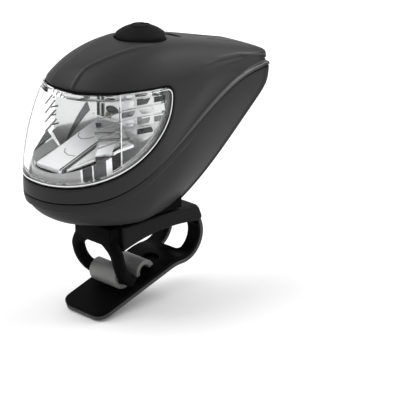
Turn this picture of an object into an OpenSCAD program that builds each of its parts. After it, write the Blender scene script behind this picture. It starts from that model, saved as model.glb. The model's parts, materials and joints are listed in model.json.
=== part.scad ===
// Bike headlight with an elastic handlebar strap, in millimetres.
// +Z is up, the beam goes out along -Y and the handlebar runs along X.
// The origin is the centre of the strap loop, where the handlebar sits.

/* [Head] */
// Widest measure of the head
body_w = 48; // [45:0.5:52]
// Length of the head from nose to tail
body_l = 101.6; // [97:0.5:108]
// Height of the head from floor to crown
body_h = 63.8; // [61:0.5:67]
// Thickness of the shell walls
wall = 2; // [1.6:0.1:2.4]
// Opening between the two shells that the seam gasket fills
seam_gap = 0.6; // [0.5:0.1:1]

/* [Lens] */
// Thickness of the clear lens
lens_t = 2.2; // [1.6:0.1:2.6]
// How far the lens stands proud of the shell
lens_proud = 0.4; // [0:0.1:0.8]
// Width of the gasket around the lens
gasket_w = 0.8; // [0.6:0.1:1.2]
// Depth of the lens opening below the brow
lens_drop = 32.3; // [29:0.1:34]
// Radius of the lens corner under the brow
lens_corner = 2.6; // [1.5:0.1:4]

/* [Button] */
// Diameter of the power button
button_d = 18; // [15:0.5:20]
// Height of the button dome above the crown
button_h = 4.8; // [4:0.2:6.4]
// Travel of the button
button_travel = 0.9; // [0.5:0.1:1.2]
// Clearance around the button in its hole
button_clear = 0.3; // [0.2:0.05:0.5]

/* [Top Details] */
// Width of the light sensor window
window_w = 7.2; // [6:0.2:9]
// Length of the light sensor window
window_l = 4.6; // [4:0.2:5.4]
// Distance of the window behind the button centre
window_y = 15.4; // [14.5:0.2:18]
// Width of each battery level slit
slit_w = 0.9; // [0.7:0.1:1.4]
// Length of each battery level slit
slit_l = 17; // [12:0.5:18]
// Angle of each slit out from the centre line
slit_splay = 7; // [4:0.5:8]
// Distance between the slits at their front ends
slit_apart = 6.8; // [6:0.2:8]
// Distance of the slits behind the button centre
slit_y = 29.3; // [28:0.1:30]

/* [Electronics] */
// Diameter of the lithium cell
cell_d = 17; // [15:0.5:18]
// Length of the lithium cell
cell_l = 50; // [46:0.5:51]
// Slope of the cell along the sloping belly
cell_tilt = 33; // [31:0.5:34]
// Width of the main circuit board
pcb_w = 17; // [16:0.5:17]
// Thickness of the main circuit board
pcb_t = 1.2; // [0.8:0.1:1.4]
// Width of the light engine board
led_board_w = 14; // [12:0.5:16]
// Width of the bright shelf in front of the light engine
shelf_w = 12; // [10:0.5:12.5]

/* [Charging Port] */
// Width of the rubber flap over the charging port
flap_w = 15.8; // [13:0.2:17]
// Height of the flap
flap_h = 4.4; // [4:0.1:4.6]
// Thickness of the flap
flap_t = 1.2; // [1:0.1:1.4]
// Width of the port opening
port_w = 8.2; // [8:0.1:9]
// Height of the port opening
port_h = 3.1; // [3:0.1:3.3]

/* [Bracket] */
// Thickness of the bracket arm
arm_t = 5.6; // [5:0.1:6]
// Width of the rail head that carries the light
rail_w = 14; // [12:0.5:15]
// Width of the rail neck
rail_neck = 9; // [7:0.5:10]
// Length of the rail
rail_l = 28; // [24:0.5:30]
// Clearance around the rail in its shoe
rail_clear = 0.3; // [0.2:0.05:0.45]
// Outer width of the yoke
yoke_w = 23.6; // [22.6:0.2:26]
// Width of each yoke leg
leg_w = 4.4; // [3.6:0.1:4.8]
// Diameter of the yoke crossbar
bar_d = 4.4; // [3.6:0.1:4.8]

/* [Strap] */
// How far the strap's edges stay inside the yoke's
strap_inset = 0.8; // [0.4:0.1:1.6]
// Thickness of the strap
strap_t = 3; // [2.4:0.1:3.4]
// Height of the relaxed strap loop at the back
loop_h = 15.2; // [14:0.2:17]
// How far the strap narrows on each side to its neck
neck_step = 2.2; // [2:0.1:3]
// Width of the slot through the strap's rear curl
slot_w = 10.8; // [8:0.2:12]
// Diameter of the strap pin
pin_d = 2.5; // [2:0.1:3]
// Length of the tongue ahead of the crossbar
tongue_l = 17.4; // [15:0.2:19]
// Clearance between the hook and the crossbar
hook_clear = 0.4; // [0.3:0.05:0.6]
// Thickness of the hook wall
hook_t = 1.8; // [1.4:0.1:2.2]

/* [Fasteners] */
// Diameter of the screw shanks
screw_d = 2.2; // [2:0.1:2.6]
// Diameter of the screw heads
screw_head_d = 4; // [3.6:0.1:4.4]
// Wall of the screw bosses
boss_wall = 1.4; // [1.2:0.1:1.8]
// Fit clearance between fixed pieces
fit = 0.1; // [0.05:0.01:0.2]

/* [Hidden] */
$fn = 48;

// Scale of the head form from its three outer sizes
kx = body_w / 48;
ky = body_l / 101.6;
kz = body_h / 63.8;

// Head form: nose, floor, seam, brow and crown, measured from the button base
nose_y = 48.8 * ky;
tail_y = 52.8 * ky;
brow_y = 37.8 * ky;
floor_front = 31 * ky;
floor_rear = 9.5 * ky;
floor_lift = 2.2 * kz;
belly_back = 58.5 * ky;
floor_hw = 10.5 * kx;
belly_hw = 24 * kx;
brow_hw = 22.2 * kx;
seam_hw = 23 * kx;
tail_hw = 15.4 * kx;
brow_tail_hw = 13.9 * kx;
floor_tail_hw = 8.6 * kx;
tail_corner = 5;
tail_lean = 1.8;
floor_z = -body_h;
seam_front_z = -49.6 * kz;
seam_rise = 28 * kz;
seam_tilt = 4.5 * kz;
seam_start = -40 * ky;
seam_run = 82 * ky;
brow_z = -11.4 * kz;
crown_fall = 3.7 * kz;
crown_soft = 14 * ky;
front_steps = 11;
side_steps = 8;
tail_steps = 4;

// Heights inside the head, from the button base down
pcb_top = -11.9 * kz;
pcb_under = pcb_top - pcb_t;
pcb_front = -10 * ky;
pcb_rear = 39 * ky;
pcb_tab_rear = 45.5 * ky;
pcb_tab_w = 8.4;
switch_h = 3.7;
switch_side = 6;
plunger_d = 3;
plunger_l = 1.8;
plunger_clear = 0.3;
plunger_spare = 0.1;
skirt_drop = 3.4;
flange_t = 1;
flange_out = 1.2;

// Light engine
led_y = -14.3 * ky;
led_z = -26 * kz;
led_board_t = 1.6;
sink_d = 8.5;
reflector_low = -44.5 * kz;
reflector_top = brow_z - 1.6;
reflector_gap = 0.6;
shelf_front_y = -43 * ky;
shelf_front_z = -38.6 * kz;
shelf_rear_z = -27.8 * kz;
shelf_t = 1.6;

// Cell
cell_lean = atan(tan(cell_tilt) * kz / ky);
cell_shift = 0.3 * (cell_l - 50);
cell_y = 14.5 * ky + cell_shift * cos(cell_lean);
cell_z = -36.8 * kz + cell_shift * sin(cell_lean);
cradle_t = 2.4;
cradle_l = 0.8 * cell_l * ky;
cap_t = 1.5;

// Charging port
port_z = pcb_under - 1.3;
socket_w = 7.5;
socket_h = 2.6;
socket_l = 5.6;
socket_skin = 0.35;
tail_face_y = 52.3 * ky;
flap_in_y = tail_face_y - 0.6;
flap_pocket = 0.3;
hinge_y = flap_in_y + flap_t / 2;
flap_low = port_z - flap_h / 2;
hinge_z = flap_low + flap_t / 2;

// Bracket and rail
arm_inset = 0.3;
arm_w = yoke_w - 2 * arm_inset;
arm_under_head = 0.6;
arm_top = floor_z - arm_under_head;
rail_base_h = 2.2;
rail_head_h = 2.4;
rail_rear = 10;
rail_front = rail_rear - rail_l;
shoe_roof = 1.2;
shoe_side = 3.2;
shoe_stop = 1.5;
shoe_ear_l = 5.2;
shoe_ear_w = 12.6;
shoe_ear_t = 3;
shoe_ear_gap = 0.25;
shoe_front = rail_front - rail_clear - shoe_stop;
shoe_hw = rail_w / 2 + rail_clear + shoe_side;
shoe_top = arm_top + rail_base_h + rail_head_h + rail_clear + shoe_roof;
shoe_ear_y = shoe_front - shoe_ear_l;
shoe_ear_z = floor_line(shoe_ear_y) + wall + shoe_ear_gap;
shoe_screw_x = 3.9;
shoe_screw_y = shoe_front - shoe_ear_l / 2;
shoe_screw_seat = floor_line(shoe_screw_y) + 1.2;
arm_rear = 18.3;
arm_front = -19;
arch_r = 75;
arch_y = 5;
ear_gap = 0.4;
eye_y = 15;
eye_z = arm_top - 3;
eye_r = 3;
bar_y = -15.4;
bar_z = arm_top - arm_t - 15.6;
leg_y = -21.6;
leg_bow = 0.7;
block_h = 5;

// Strap loop and the straight run under the crossbar
strap_w = yoke_w - 2 * strap_inset;
neck_w = strap_w - 2 * neck_step;
loop_y = 10;
loop_z = arm_top - arm_t - 5.2;
loop_r = loop_h / 2 + strap_t / 2;
strap_slope = 18.5;
strap_seat = bar_d / 2 + hook_clear + hook_t + strap_t / 2;
run_y = bar_y + strap_seat * sin(strap_slope);
run_z = bar_z - strap_seat * cos(strap_slope);
strap_split = 18;
split_gap = 0.35;
hook_foot = 2.6;
hook_step = 11.6;
spare_hook_r = 0.9;
hook_side = 0.3;
hook_w = yoke_w - 2 * leg_w - 2 * hook_side;
lip_back = 4;
tongue_corner = 4.5;
slot_low = -66;
slot_high = 34;

// The handlebar centre, seen from the button base
head_up = -loop_z + 0.4;
head_ahead = loop_y - 1;

// Housing screws: places from the centre line and the button, and the bosses round them
boss_places = [[8.2 * kx, 44 * ky]];
boss_d = screw_head_d + 2 * boss_wall;
screw_below = 6;
screw_above = 7;
screw_head_h = 1.6;
gusset_t = 1.2;
gusset_out = 4;
board_screw_y = 26 * ky;
board_screw_x = 6;

function mix(a, b, t) = a + (b - a) * t;
function smooth01(t) = let (u = max(0, min(1, t))) u * u * (3 - 2 * u);
function seam_z(y) = seam_front_z + seam_rise * smooth01((y - seam_start) / seam_run)
    + seam_tilt * (y + nose_y) / (nose_y + tail_y);
function brow_line(y) = brow_z + kz * exp(-pow((y / ky - 14) / 22, 2));
function floor_line(y) = floor_z + floor_lift * smooth01((-y / ky - 10) / 26);
function crown_z(y) = -crown_fall * (sqrt(1 + pow((y + 2) / crown_soft, 2)) - 1);

// Right half of a ring seen from above, from the nose round to the tail
function half_plan(yf, yw, hw, yr, hr, e) = let (ys = yr - tail_corner) concat(
    [for (i = [0:front_steps]) let (a = 90 * i / front_steps)
        [hw * pow(sin(a), 2 / e), yw - (yw - yf) * pow(cos(a), 2 / e)]],
    [for (i = [1:side_steps]) let (t = i / side_steps)
        [hw - (hw - hr) * pow(t, 1.3), mix(yw, ys, t)]],
    [for (i = [1:tail_steps]) let (a = 90 * i / tail_steps)
        [hr * sqrt(cos(a)), ys + tail_corner * sqrt(sin(a))]]);
function ring(half, height) = let (n = len(half)) concat(
    [for (p = half) [p.x, p.y, height(p.y)]],
    [for (i = [n - 2:-1:1]) [-half[i].x, half[i].y, height(half[i].y)]]);

// Rings of the lower hull (g runs from the seam to the floor)
function hull_ring(g, w) = let (c = sqrt(1 - g * g), q = 1 - g * g)
    ring(half_plan(-mix(floor_front, nose_y, c) + w, -13 * ky, mix(floor_hw, seam_hw, c) - w,
        min(tail_y - 0.4 - 4 * g, mix(belly_back, floor_rear, g)) - w,
        mix(floor_tail_hw, tail_hw - 0.2, q) - w, 2.3),
        function (y) mix(seam_z(y), floor_line(y), g) + w * g);
// Rings of the belly (f runs from the seam to the brow)
function belly_ring(f, w) = let (b = (f - 0.35) / 0.65)
    ring(half_plan(-mix(nose_y, brow_y, pow(f, 2.2)) + w, mix(-12, -7, f) * ky,
        mix(belly_hw, brow_hw, b * b) - w, tail_y - tail_lean * f * f - w,
        mix(tail_hw, brow_tail_hw, f * f) - w, 2.28),
        function (y) mix(seam_z(y), brow_line(y), f));
// Rings of the crown (s shrinks from the brow to the ridge)
function crown_ring(s, w) = let (v = w * s)
    ring(half_plan(-7 * ky - (brow_y - 7 * ky) * sqrt(s) + v, mix(-1, -7, s) * ky, brow_hw * s - v,
        tail_y - tail_lean - 6 * (1 - s) - v, brow_tail_hw * s - v, 2.15),
        function (y) mix(brow_line(y), crown_z(y), 1 - pow(s, 4.4)) - w * (1 - pow(s, 4)));

// Closed solid of the head form, drawn in by an even wall
module form(w = 0) {
    rings = concat([for (g = [1, 0.96, 0.9, 0.8, 0.7, 0.6, 0.48, 0.35, 0.24, 0.15, 0.07]) hull_ring(g, w)],
        [for (f = [0, 0.12, 0.3, 0.55, 0.8, 1]) belly_ring(f, w)],
        [for (s = [0.93, 0.82, 0.66, 0.45, 0.22]) crown_ring(s, w)]);
    n = len(rings[0]);
    m = len(rings);
    half = n / 2;
    walls = [for (k = [0:m - 2], i = [0:n - 1]) let (a = k * n + i, b = k * n + (i + 1) % n)
        each [[a, a + n, b], [b, a + n, b + n]]];
    function cap(k) = [for (i = [0:half - 1])
        let (a = k * n + i, b = k * n + (n - i) % n, c = k * n + i + 1, d = k * n + n - i - 1)
        each concat(i > 0 ? [[a, c, b]] : [], c != d ? [[b, c, d]] : [])];
    lid = [for (t = cap(m - 1)) [t[2], t[1], t[0]]];
    polyhedron([for (r = rings) each r], concat(walls, cap(0), lid), convexity = 8);
}

// Side outline in Y and Z, drawn out along X
module across(points, width) {
    rotate([90, 0, 90]) linear_extrude(width, center = true) polygon(points);
}
module rod(p, r, width = 80) {
    translate([0, p[0], p[1]]) rotate([0, 90, 0]) cylinder(h = width, r = r, center = true, $fn = 20);
}
module plate(lo, hi) {
    translate(lo) cube(hi - lo);
}
module post(x, y, z0, z1, d) {
    translate([x, y, z0]) cylinder(h = z1 - z0, d = d);
}
module both() {
    children();
    mirror([1, 0, 0]) children();
}
module on_head() {
    translate([0, -head_ahead, head_up]) children();
}

// Everything above the seam line raised by d, or below it
module above_seam(d) {
    line = [for (i = [0:40]) let (y = mix(-70, 70, i / 40)) [y, seam_z(y) + d]];
    across(concat(line, [[70, 40], [-70, 40]]), 100);
}
module below_seam(d) {
    line = [for (i = [0:40]) let (y = mix(-70, 70, i / 40)) [y, seam_z(y) + d]];
    across(concat(line, [[70, -120], [-70, -120]]), 100);
}

// Lens outline seen from the side: a quarter of an ellipse under the level brow, grown by d
lens_mid = [-52 * ky, brow_z + 0.1];
lens_reach = 46.8 * ky;
lens_rods = 10;
function lens_point(i) = let (a = mix(3, 90, i / lens_rods)) lens_mid
    + [(lens_reach - lens_corner) * cos(a), -lens_corner - (lens_drop * kz - 2 * lens_corner) * sin(a)];
module lens_prism(d = 0) {
    start = [lens_mid[0], lens_mid[1] - lens_corner];
    for (i = [0:lens_rods - 1]) hull() {
        rod(start, lens_corner + d);
        rod(lens_point(i), lens_corner + d);
        rod(lens_point(i + 1), lens_corner + d);
    }
}

// Screw boss with four gussets, hung from or standing on a shell
module boss(p, z0, z1) {
    post(p.x, p.y, z0, z1, boss_d);
    for (a = [0:90:270]) hull() {
        translate([p.x, p.y, z0]) rotate(a) translate([0, -gusset_t / 2, 0])
            cube([boss_d / 2 - 0.3, gusset_t, z1 - z0]);
        translate([p.x, p.y, mix(z0, z1, 0.5)]) rotate(a) translate([0, -gusset_t / 2, -1])
            cube([gusset_out, gusset_t, 2]);
    }
}
module at_slit(width) {
    both() translate([slit_apart / 2, slit_y * ky, 0]) rotate(-slit_splay)
        rotate([90, 0, 90]) linear_extrude(width, center = true) children();
}
module oval(grow, z0, z1) {
    r = window_l / 2 + grow;
    hull() for (s = [-1, 1])
        translate([s * (window_w - window_l) / 2, window_y * ky, z0]) cylinder(h = z1 - z0, r = r, $fn = 32);
}
module rail_run(grow, y0, y1) {
    neck_top = arm_top + rail_base_h;
    plate([-rail_neck / 2 - grow, y0, arm_top - fit], [rail_neck / 2 + grow, y1, neck_top + fit]);
    plate([-rail_w / 2 - grow, y0, neck_top - grow], [rail_w / 2 + grow, y1, neck_top + rail_head_h + grow]);
}
module on_cell() {
    translate([0, cell_y, cell_z]) rotate([cell_lean, 0, 0]) children();
}
module along_y(y0, y1, d) {
    translate([0, y0, 0]) rotate([-90, 0, 0]) cylinder(h = y1 - y0, d = d);
}
module on_strap() {
    translate([0, run_y, run_z]) rotate([strap_slope, 0, 0]) children();
}

// Ribbon of even thickness along a path in Y and Z
function unit(v) = v / norm(v);
function ribbon(path, t) = let (n = len(path), sides = [for (i = [0:n - 1])
        let (d = unit(path[min(i + 1, n - 1)] - path[max(i - 1, 0)])) t / 2 * [-d.y, d.x]])
    concat([for (i = [0:n - 1]) path[i] + sides[i]], [for (i = [n - 1:-1:0]) path[i] - sides[i]]);
function run_point(l) = [run_y + l * cos(strap_slope), run_z + l * sin(strap_slope)];
function hermite(p, q, dp, dq, t) = p * (1 - 3 * t * t + 2 * pow(t, 3)) + q * (3 * t * t - 2 * pow(t, 3))
    + dp * (t - 2 * t * t + pow(t, 3)) + dq * (pow(t, 3) - t * t);
function loop_path(from) = let (low = [loop_y, loop_z - loop_r], end = run_point(strap_split + split_gap),
        reach = norm(low - end)) concat(
    [for (i = [0:18]) let (a = mix(from, -90, i / 18)) [loop_y + loop_r * cos(a), loop_z + loop_r * sin(a)]],
    [for (i = [1:8]) hermite(low, end, [-reach, 0], -reach * [cos(strap_slope), sin(strap_slope)], i / 8)]);

module upper_shell() {
    color("#35363a") on_head() difference() {
        union() {
            difference() {
                form();
                form(wall);
            }
            intersection() {
                form(wall / 2);
                union() {
                    both() for (p = boss_places) boss(p, seam_z(p.y), 0);
                    both() post(board_screw_x, board_screw_y, pcb_top, 0, boss_d);
                }
            }
        }
        below_seam(seam_gap / 2);
        lens_prism(gasket_w);
        post(0, 0, -20, 20, button_d + 2 * button_clear);
        oval(fit, -8, 8);
        at_slit(slit_w) translate([0, pcb_top]) square([slit_l, 60]);
        plate([-flap_w / 2 - flap_pocket, flap_in_y - flap_pocket, flap_low - flap_pocket],
            [flap_w / 2 + flap_pocket, 80, flap_low + flap_h + flap_pocket]);
        plate([-port_w / 2, 20, port_z - port_h / 2], [port_w / 2, 80, port_z + port_h / 2]);
        both() for (p = boss_places) post(p.x, p.y, -60, seam_z(p.y) + screw_above + 1, screw_d + 2 * fit);
        both() post(board_screw_x, board_screw_y, pcb_top - 1, pcb_top + 4.5, screw_d + 2 * fit);
    }
}

module lower_shell() {
    color("#2f3033") on_head() difference() {
        union() {
            difference() {
                form();
                form(wall);
            }
            intersection() {
                form(wall / 2);
                both() for (p = boss_places) boss(p, floor_z, seam_z(p.y));
            }
        }
        above_seam(-seam_gap / 2);
        plate([-shoe_hw - fit, shoe_front - fit, floor_z - 1],
            [shoe_hw + fit, rail_rear + fit, shoe_top + fit]);
        rail_run(rail_clear, rail_rear, tail_y);
        both() for (p = boss_places) {
            post(p.x, p.y, floor_z - 5, seam_z(p.y) - screw_below + fit, screw_head_d + 4 * fit);
            post(p.x, p.y, floor_z, 0, screw_d + 2 * fit);
        }
        both() post(shoe_screw_x, shoe_screw_y, floor_z - 1, 0, screw_d + 2 * fit);
        both() post(shoe_screw_x, shoe_screw_y, floor_z - 1, shoe_screw_seat, screw_head_d + 2 * fit);
    }
}

module seam_gasket() {
    r = seam_gap / 2 - fit / 2;
    color("#121214") on_head() intersection() {
        difference() {
            form(wall * 0.3);
            form(wall * 0.8);
        }
        for (i = [0:25]) hull() for (j = [i, i + 1])
            let (y = mix(-54, 58, j / 26)) rod([y, seam_z(y)], r, 60);
    }
}

module lens() {
    color("#dfe6ea") on_head() intersection() {
        difference() {
            form(-lens_proud);
            form(lens_t - lens_proud);
        }
        lens_prism();
    }
}

module lens_gasket() {
    color("#101012") on_head() intersection() {
        difference() {
            form(0.3);
            form(wall);
        }
        difference() {
            lens_prism(gasket_w - fit);
            lens_prism(fit);
        }
    }
}

// Upright wall between two places seen from above
module wall_between(p, q, z0, z1, t) {
    hull() {
        post(p.x, p.y, z0, z1, t, $fn = 12);
        post(q.x, q.y, z0, z1, t, $fn = 12);
    }
}
// Shelf and trays lie in one slope
function shelf_side(y0, y1, t) = let (k = (shelf_rear_z - shelf_front_z) / (led_y - shelf_front_y),
        z0 = shelf_front_z + k * (y0 - shelf_front_y), z1 = shelf_front_z + k * (y1 - shelf_front_y))
    [[y1, z1], [y0, z0], [y0, z0 - t], [y1, z1 - t]];

module reflector() {
    skin = 0.9;
    hub_x = 6.4;
    hub_y = led_y - skin / 2 - 0.2;
    flare = [22 * kx, led_y - 11 * ky];
    side_hub = [hub_x + 0.3, led_y - 1.3];
    side = [22 * kx, led_y + 8.2 * ky];
    rows = 6;
    rib_rise = 5;
    rib_h = 0.8;
    led_hole = 6.4;
    tray_in = shelf_w / 2 + 0.25;
    tray_t = 1;
    inset = max(wall, lens_t) + reflector_gap;
    pitch = (reflector_top - reflector_low) / rows;
    skirt_rear = -30 * ky;
    skirt_top = shelf_side(-nose_y, skirt_rear, tray_t / 2);
    pocket_z = -40.4 * kz;
    module tray(y1, plan) {
        intersection() {
            across(shelf_side(shelf_front_y, y1, tray_t), 2 * belly_hw);
            translate([0, 0, reflector_low]) linear_extrude(reflector_top - reflector_low) polygon(plan);
        }
    }
    color("#d8dade") on_head() difference() {
        intersection() {
            form(inset);
            union() {
                wall_between([-hub_x, hub_y], [hub_x, hub_y], reflector_low, reflector_top, skin);
                both() {
                    wall_between([hub_x, hub_y], flare, reflector_low, reflector_top, skin);
                    wall_between(side_hub, side, reflector_low, reflector_top, skin);
                    translate([0, 0, pocket_z - skin]) linear_extrude(skin) polygon([side_hub, side, flare]);
                    for (i = [0:rows - 1]) let (z = reflector_low + i * pitch) hull() {
                        post(side_hub.x, side_hub.y, z, z + rib_h, 2 * skin, $fn = 12);
                        post(side.x, side.y, z + rib_rise, z + rib_rise + rib_h, 2 * skin, $fn = 12);
                    }
                    tray(led_y - 6 * ky, [[tray_in, -43.5 * ky], [20 * kx, -38 * ky], [22 * kx, -22 * ky],
                        [17.5 * kx, -21.6 * ky], [16.8 * kx, -27.8 * ky], [tray_in, -32.6 * ky]]);
                }
                tray(led_y - 0.6, [[tray_in, -33 * ky], [17.2 * kx, -28.2 * ky], [18 * kx, -22 * ky],
                    [hub_x + 0.3, hub_y - 0.1], [tray_in, hub_y - 0.1]]);
                difference() {
                    across([skirt_top[3], skirt_top[2], [-nose_y, reflector_low], [skirt_rear, reflector_low]],
                        2 * belly_hw);
                    form(inset + skin);
                }
            }
        }
        translate([0, 0, led_z]) along_y(led_y - 5, led_y + 1, led_hole);
        across(shelf_side(led_y - 4, led_y + 1, shelf_t + 0.3), shelf_w + 0.3);
    }
}

module led_shelf() {
    color("#c9ccd0") on_head() across(shelf_side(shelf_front_y, led_y - fit, shelf_t), shelf_w);
}

module led_emitter() {
    emitter_w = 3.4;
    color("#f2e9b0") on_head() {
        plate([-emitter_w / 2, led_y - 0.8, led_z - emitter_w / 2],
            [emitter_w / 2, led_y, led_z + emitter_w / 2]);
        translate([0, 0, led_z]) along_y(led_y - 1.4, led_y - 0.6, emitter_w * 0.8);
    }
}

module led_board() {
    color("#e9ebe8") on_head() plate([-led_board_w / 2, led_y, led_z - led_board_w / 2],
        [led_board_w / 2, led_y + led_board_t, led_z + led_board_w / 2]);
}

module heat_sink() {
    fins = 6;
    base_t = 2.5;
    y0 = led_y + led_board_t;
    hw = led_board_w / 2 + 2;
    color("#9a9da2") on_head() {
        plate([-hw, y0, led_z - hw], [hw, y0 + base_t, led_z + hw]);
        for (i = [0:fins - 1]) let (x = mix(-hw, hw - 1, i / (fins - 1)))
            plate([x, y0 + base_t - fit, led_z - hw], [x + 1, y0 + sink_d, led_z + hw]);
    }
}

module main_board() {
    color("#1d5a38") on_head() difference() {
        union() {
            plate([-pcb_w / 2, pcb_front, pcb_under], [pcb_w / 2, pcb_rear, pcb_top]);
            plate([-pcb_tab_w / 2, pcb_rear - fit, pcb_under], [pcb_tab_w / 2, pcb_tab_rear, pcb_top]);
        }
        both() post(board_screw_x, board_screw_y, pcb_under - 1, pcb_top + 1, screw_d + 2 * fit);
    }
}

module screw(x, y, seat, length) {
    post(x, y, seat - screw_head_h, seat, screw_head_d);
    post(x, y, seat - fit, seat + length, screw_d);
}
module board_screws() {
    color("#b8b8b4") on_head() both() screw(board_screw_x, board_screw_y, pcb_under, pcb_t + 4);
}

module switch_body() {
    side = switch_side / 2;
    color("#2a2a2c") on_head() difference() {
        plate([-side, -side, pcb_top], [side, side, pcb_top + switch_h]);
        post(0, 0, pcb_top + switch_h - plunger_l - button_travel - plunger_spare, 0,
            plunger_d + 2 * plunger_clear);
    }
}

module switch_plunger() {
    color("#c8b27a") on_head() post(0, 0, pcb_top + switch_h - plunger_l, -skirt_drop - flange_t, plunger_d);
}

module power_button() {
    r = button_d / 2;
    crown = button_h - 1.2;
    base = -skirt_drop - flange_t;
    dome = (r * r + crown * crown) / (2 * crown);
    arc = asin(r / dome);
    color("#232427") on_head() rotate_extrude($fn = 64) polygon(concat(
        [[0, base], [r + flange_out, base], [r + flange_out, base + flange_t], [r, base + flange_t]],
        [for (i = [0:8]) let (a = mix(arc, 0, i / 8)) [dome * sin(a), button_h - dome + dome * cos(a)]]));
}

module sensor_window() {
    color("#20242a") on_head() {
        oval(0, -5, crown_z(window_y * ky) - 0.2);
        oval(0.9, -5.6, -4.9);
    }
}

module light_sensor() {
    side = 1.2;
    color("#3a3d44") on_head() translate([0, window_y * ky, pcb_top])
        plate([-side, -side, 0], [side, side, 1]);
}

module light_pipes() {
    along = slit_l - 2 * fit;
    top = [for (i = [0:8]) let (u = along * i / 8)
        [u + fit, crown_z(slit_y * ky + u * cos(slit_splay)) - 0.3]];
    color("#5f9dff") on_head() at_slit(slit_w - 2 * fit)
        polygon(concat(top, [[along + fit, pcb_top + 0.7], [fit, pcb_top + 0.7]]));
}

module indicator_leds() {
    mid = slit_l / 2;
    color("#e8f0ff") on_head() both() translate([slit_apart / 2, slit_y * ky, pcb_top]) rotate(-slit_splay)
        plate([-0.5, mid - 0.8, 0], [0.5, mid + 0.8, 0.65]);
}

module battery_cell() {
    color("#3c6fb4") on_head() on_cell() along_y(-cell_l / 2, cell_l / 2, cell_d);
}

module battery_cap() {
    color("#d9d6c8") on_head() on_cell() along_y(-cell_l / 2 - cap_t, -cell_l / 2, cell_d - 1);
}

module battery_cradle() {
    color("#44474b") on_head() on_cell() difference() {
        plate([-7, -cradle_l / 2, -cell_d / 2 - cradle_t], [7, cradle_l / 2, -cell_d / 2 + 2.5]);
        along_y(-cell_l, cell_l, cell_d + 2 * fit);
    }
}

module battery_leads() {
    wire_d = 1.2;
    end_y = cell_y + cell_l / 2 * cos(cell_lean) + 0.7;
    end_z = cell_z + cell_l / 2 * sin(cell_lean);
    color("#b03028") on_head() both() post(3, end_y, end_z, pcb_under, wire_d);
}

module usb_socket() {
    y1 = flap_in_y - flap_pocket - 1.3;
    color("#b9bcc0") on_head() difference() {
        plate([-socket_w / 2, y1 - socket_l, pcb_under - socket_h], [socket_w / 2, y1, pcb_under]);
        plate([-socket_w / 2 + socket_skin, y1 - socket_l + 1, pcb_under - socket_h + socket_skin],
            [socket_w / 2 - socket_skin, y1 + 1, pcb_under - socket_skin]);
    }
}

module usb_flap() {
    plug_w = port_w - 0.8;
    plug_h = 1.6;
    plug_l = 1.2;
    color("#18181a") on_head() {
        translate([0, hinge_y, hinge_z]) rotate([0, 90, 0]) cylinder(h = flap_w, d = flap_t, center = true);
        plate([-flap_w / 2, flap_in_y, hinge_z], [flap_w / 2, flap_in_y + flap_t, flap_low + flap_h]);
        plate([-plug_w / 2, flap_in_y - plug_l, port_z - plug_h / 2],
            [plug_w / 2, flap_in_y + fit, port_z + plug_h / 2]);
    }
}

module housing_screws() {
    color("#a9aaac") on_head() both() for (p = boss_places)
        screw(p.x, p.y, seam_z(p.y) - screw_below, screw_below + screw_above);
}

module rail_shoe() {
    color("#3d3e41") on_head() difference() {
        union() {
            plate([-shoe_hw, shoe_front, floor_z], [shoe_hw, rail_rear, shoe_top]);
            plate([-shoe_ear_w / 2, shoe_ear_y, shoe_ear_z],
                [shoe_ear_w / 2, shoe_front + fit, shoe_ear_z + shoe_ear_t]);
        }
        rail_run(rail_clear, rail_front - rail_clear, rail_rear + 1);
        both() post(shoe_screw_x, shoe_screw_y, floor_z, 0, screw_d + 2 * fit);
    }
}

module shoe_screws() {
    color("#a9aaac") on_head() both() screw(shoe_screw_x, shoe_screw_y, shoe_screw_seat, wall + 1.4);
}

module bracket_arm() {
    arm_under = arm_top - arm_t;
    deep = 14;
    color("#141416") on_head() difference() {
        union() {
            across([[arm_front, arm_top], [arm_rear - 1, arm_top], [arm_rear, arm_top - 1],
                [arm_rear + 0.4, arm_under + 1.6], [arm_rear - 1.2, arm_under],
                [arm_front, arm_top - deep]], arm_w);
            rail_run(0, rail_front, rail_rear);
        }
        rod([arch_y, arm_under - arch_r], arch_r, 80, $fn = 96);
        plate([-neck_w / 2 - ear_gap, eye_y - eye_r - ear_gap - 0.6, arm_top - deep],
            [neck_w / 2 + ear_gap, arm_rear + 1, arm_top + 1]);
        translate([0, eye_y, eye_z]) rotate([0, 90, 0]) cylinder(h = 60, d = pin_d + 2 * fit, center = true);
    }
}

module bracket_yoke() {
    top = arm_top;
    path = concat([[leg_y, top]], [for (i = [0:8]) hermite([leg_y, top - block_h], [bar_y, bar_z],
        [-4 * leg_bow, -block_h * 3], [14, -10], i / 8)]);
    block_front = leg_y - leg_w / 2;
    color("#101012") on_head() {
        both() translate([yoke_w / 2 - leg_w / 2, 0, 0]) across(ribbon(path, leg_w), leg_w);
        plate([-yoke_w / 2 + 1, block_front, top - block_h], [yoke_w / 2 - 1, arm_front, top]);
        rod([bar_y, bar_z], bar_d / 2, yoke_w, $fn = 48);
    }
}

module strap_pin() {
    color("#a8a9ab") on_head() translate([0, eye_y, eye_z]) rotate([0, 90, 0])
        cylinder(h = arm_w - 0.6, d = pin_d, center = true);
}

module strap_loop() {
    neck_from = 50;
    wide_from = 24;
    color("#17171a") on_head() difference() {
        union() {
            rod([eye_y, eye_z], eye_r, neck_w, $fn = 48);
            across(ribbon(loop_path(neck_from), strap_t), neck_w);
            across(ribbon(loop_path(wide_from), strap_t), strap_w);
        }
        across(concat([[loop_y, loop_z]], [for (i = [0:8]) let (a = mix(slot_low, slot_high, i / 8))
            [loop_y + 2 * loop_r * cos(a), loop_z + 2 * loop_r * sin(a)]]), slot_w);
        translate([0, eye_y, eye_z]) rotate([0, 90, 0]) cylinder(h = 60, d = pin_d + 2 * fit, center = true);
    }
}

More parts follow.
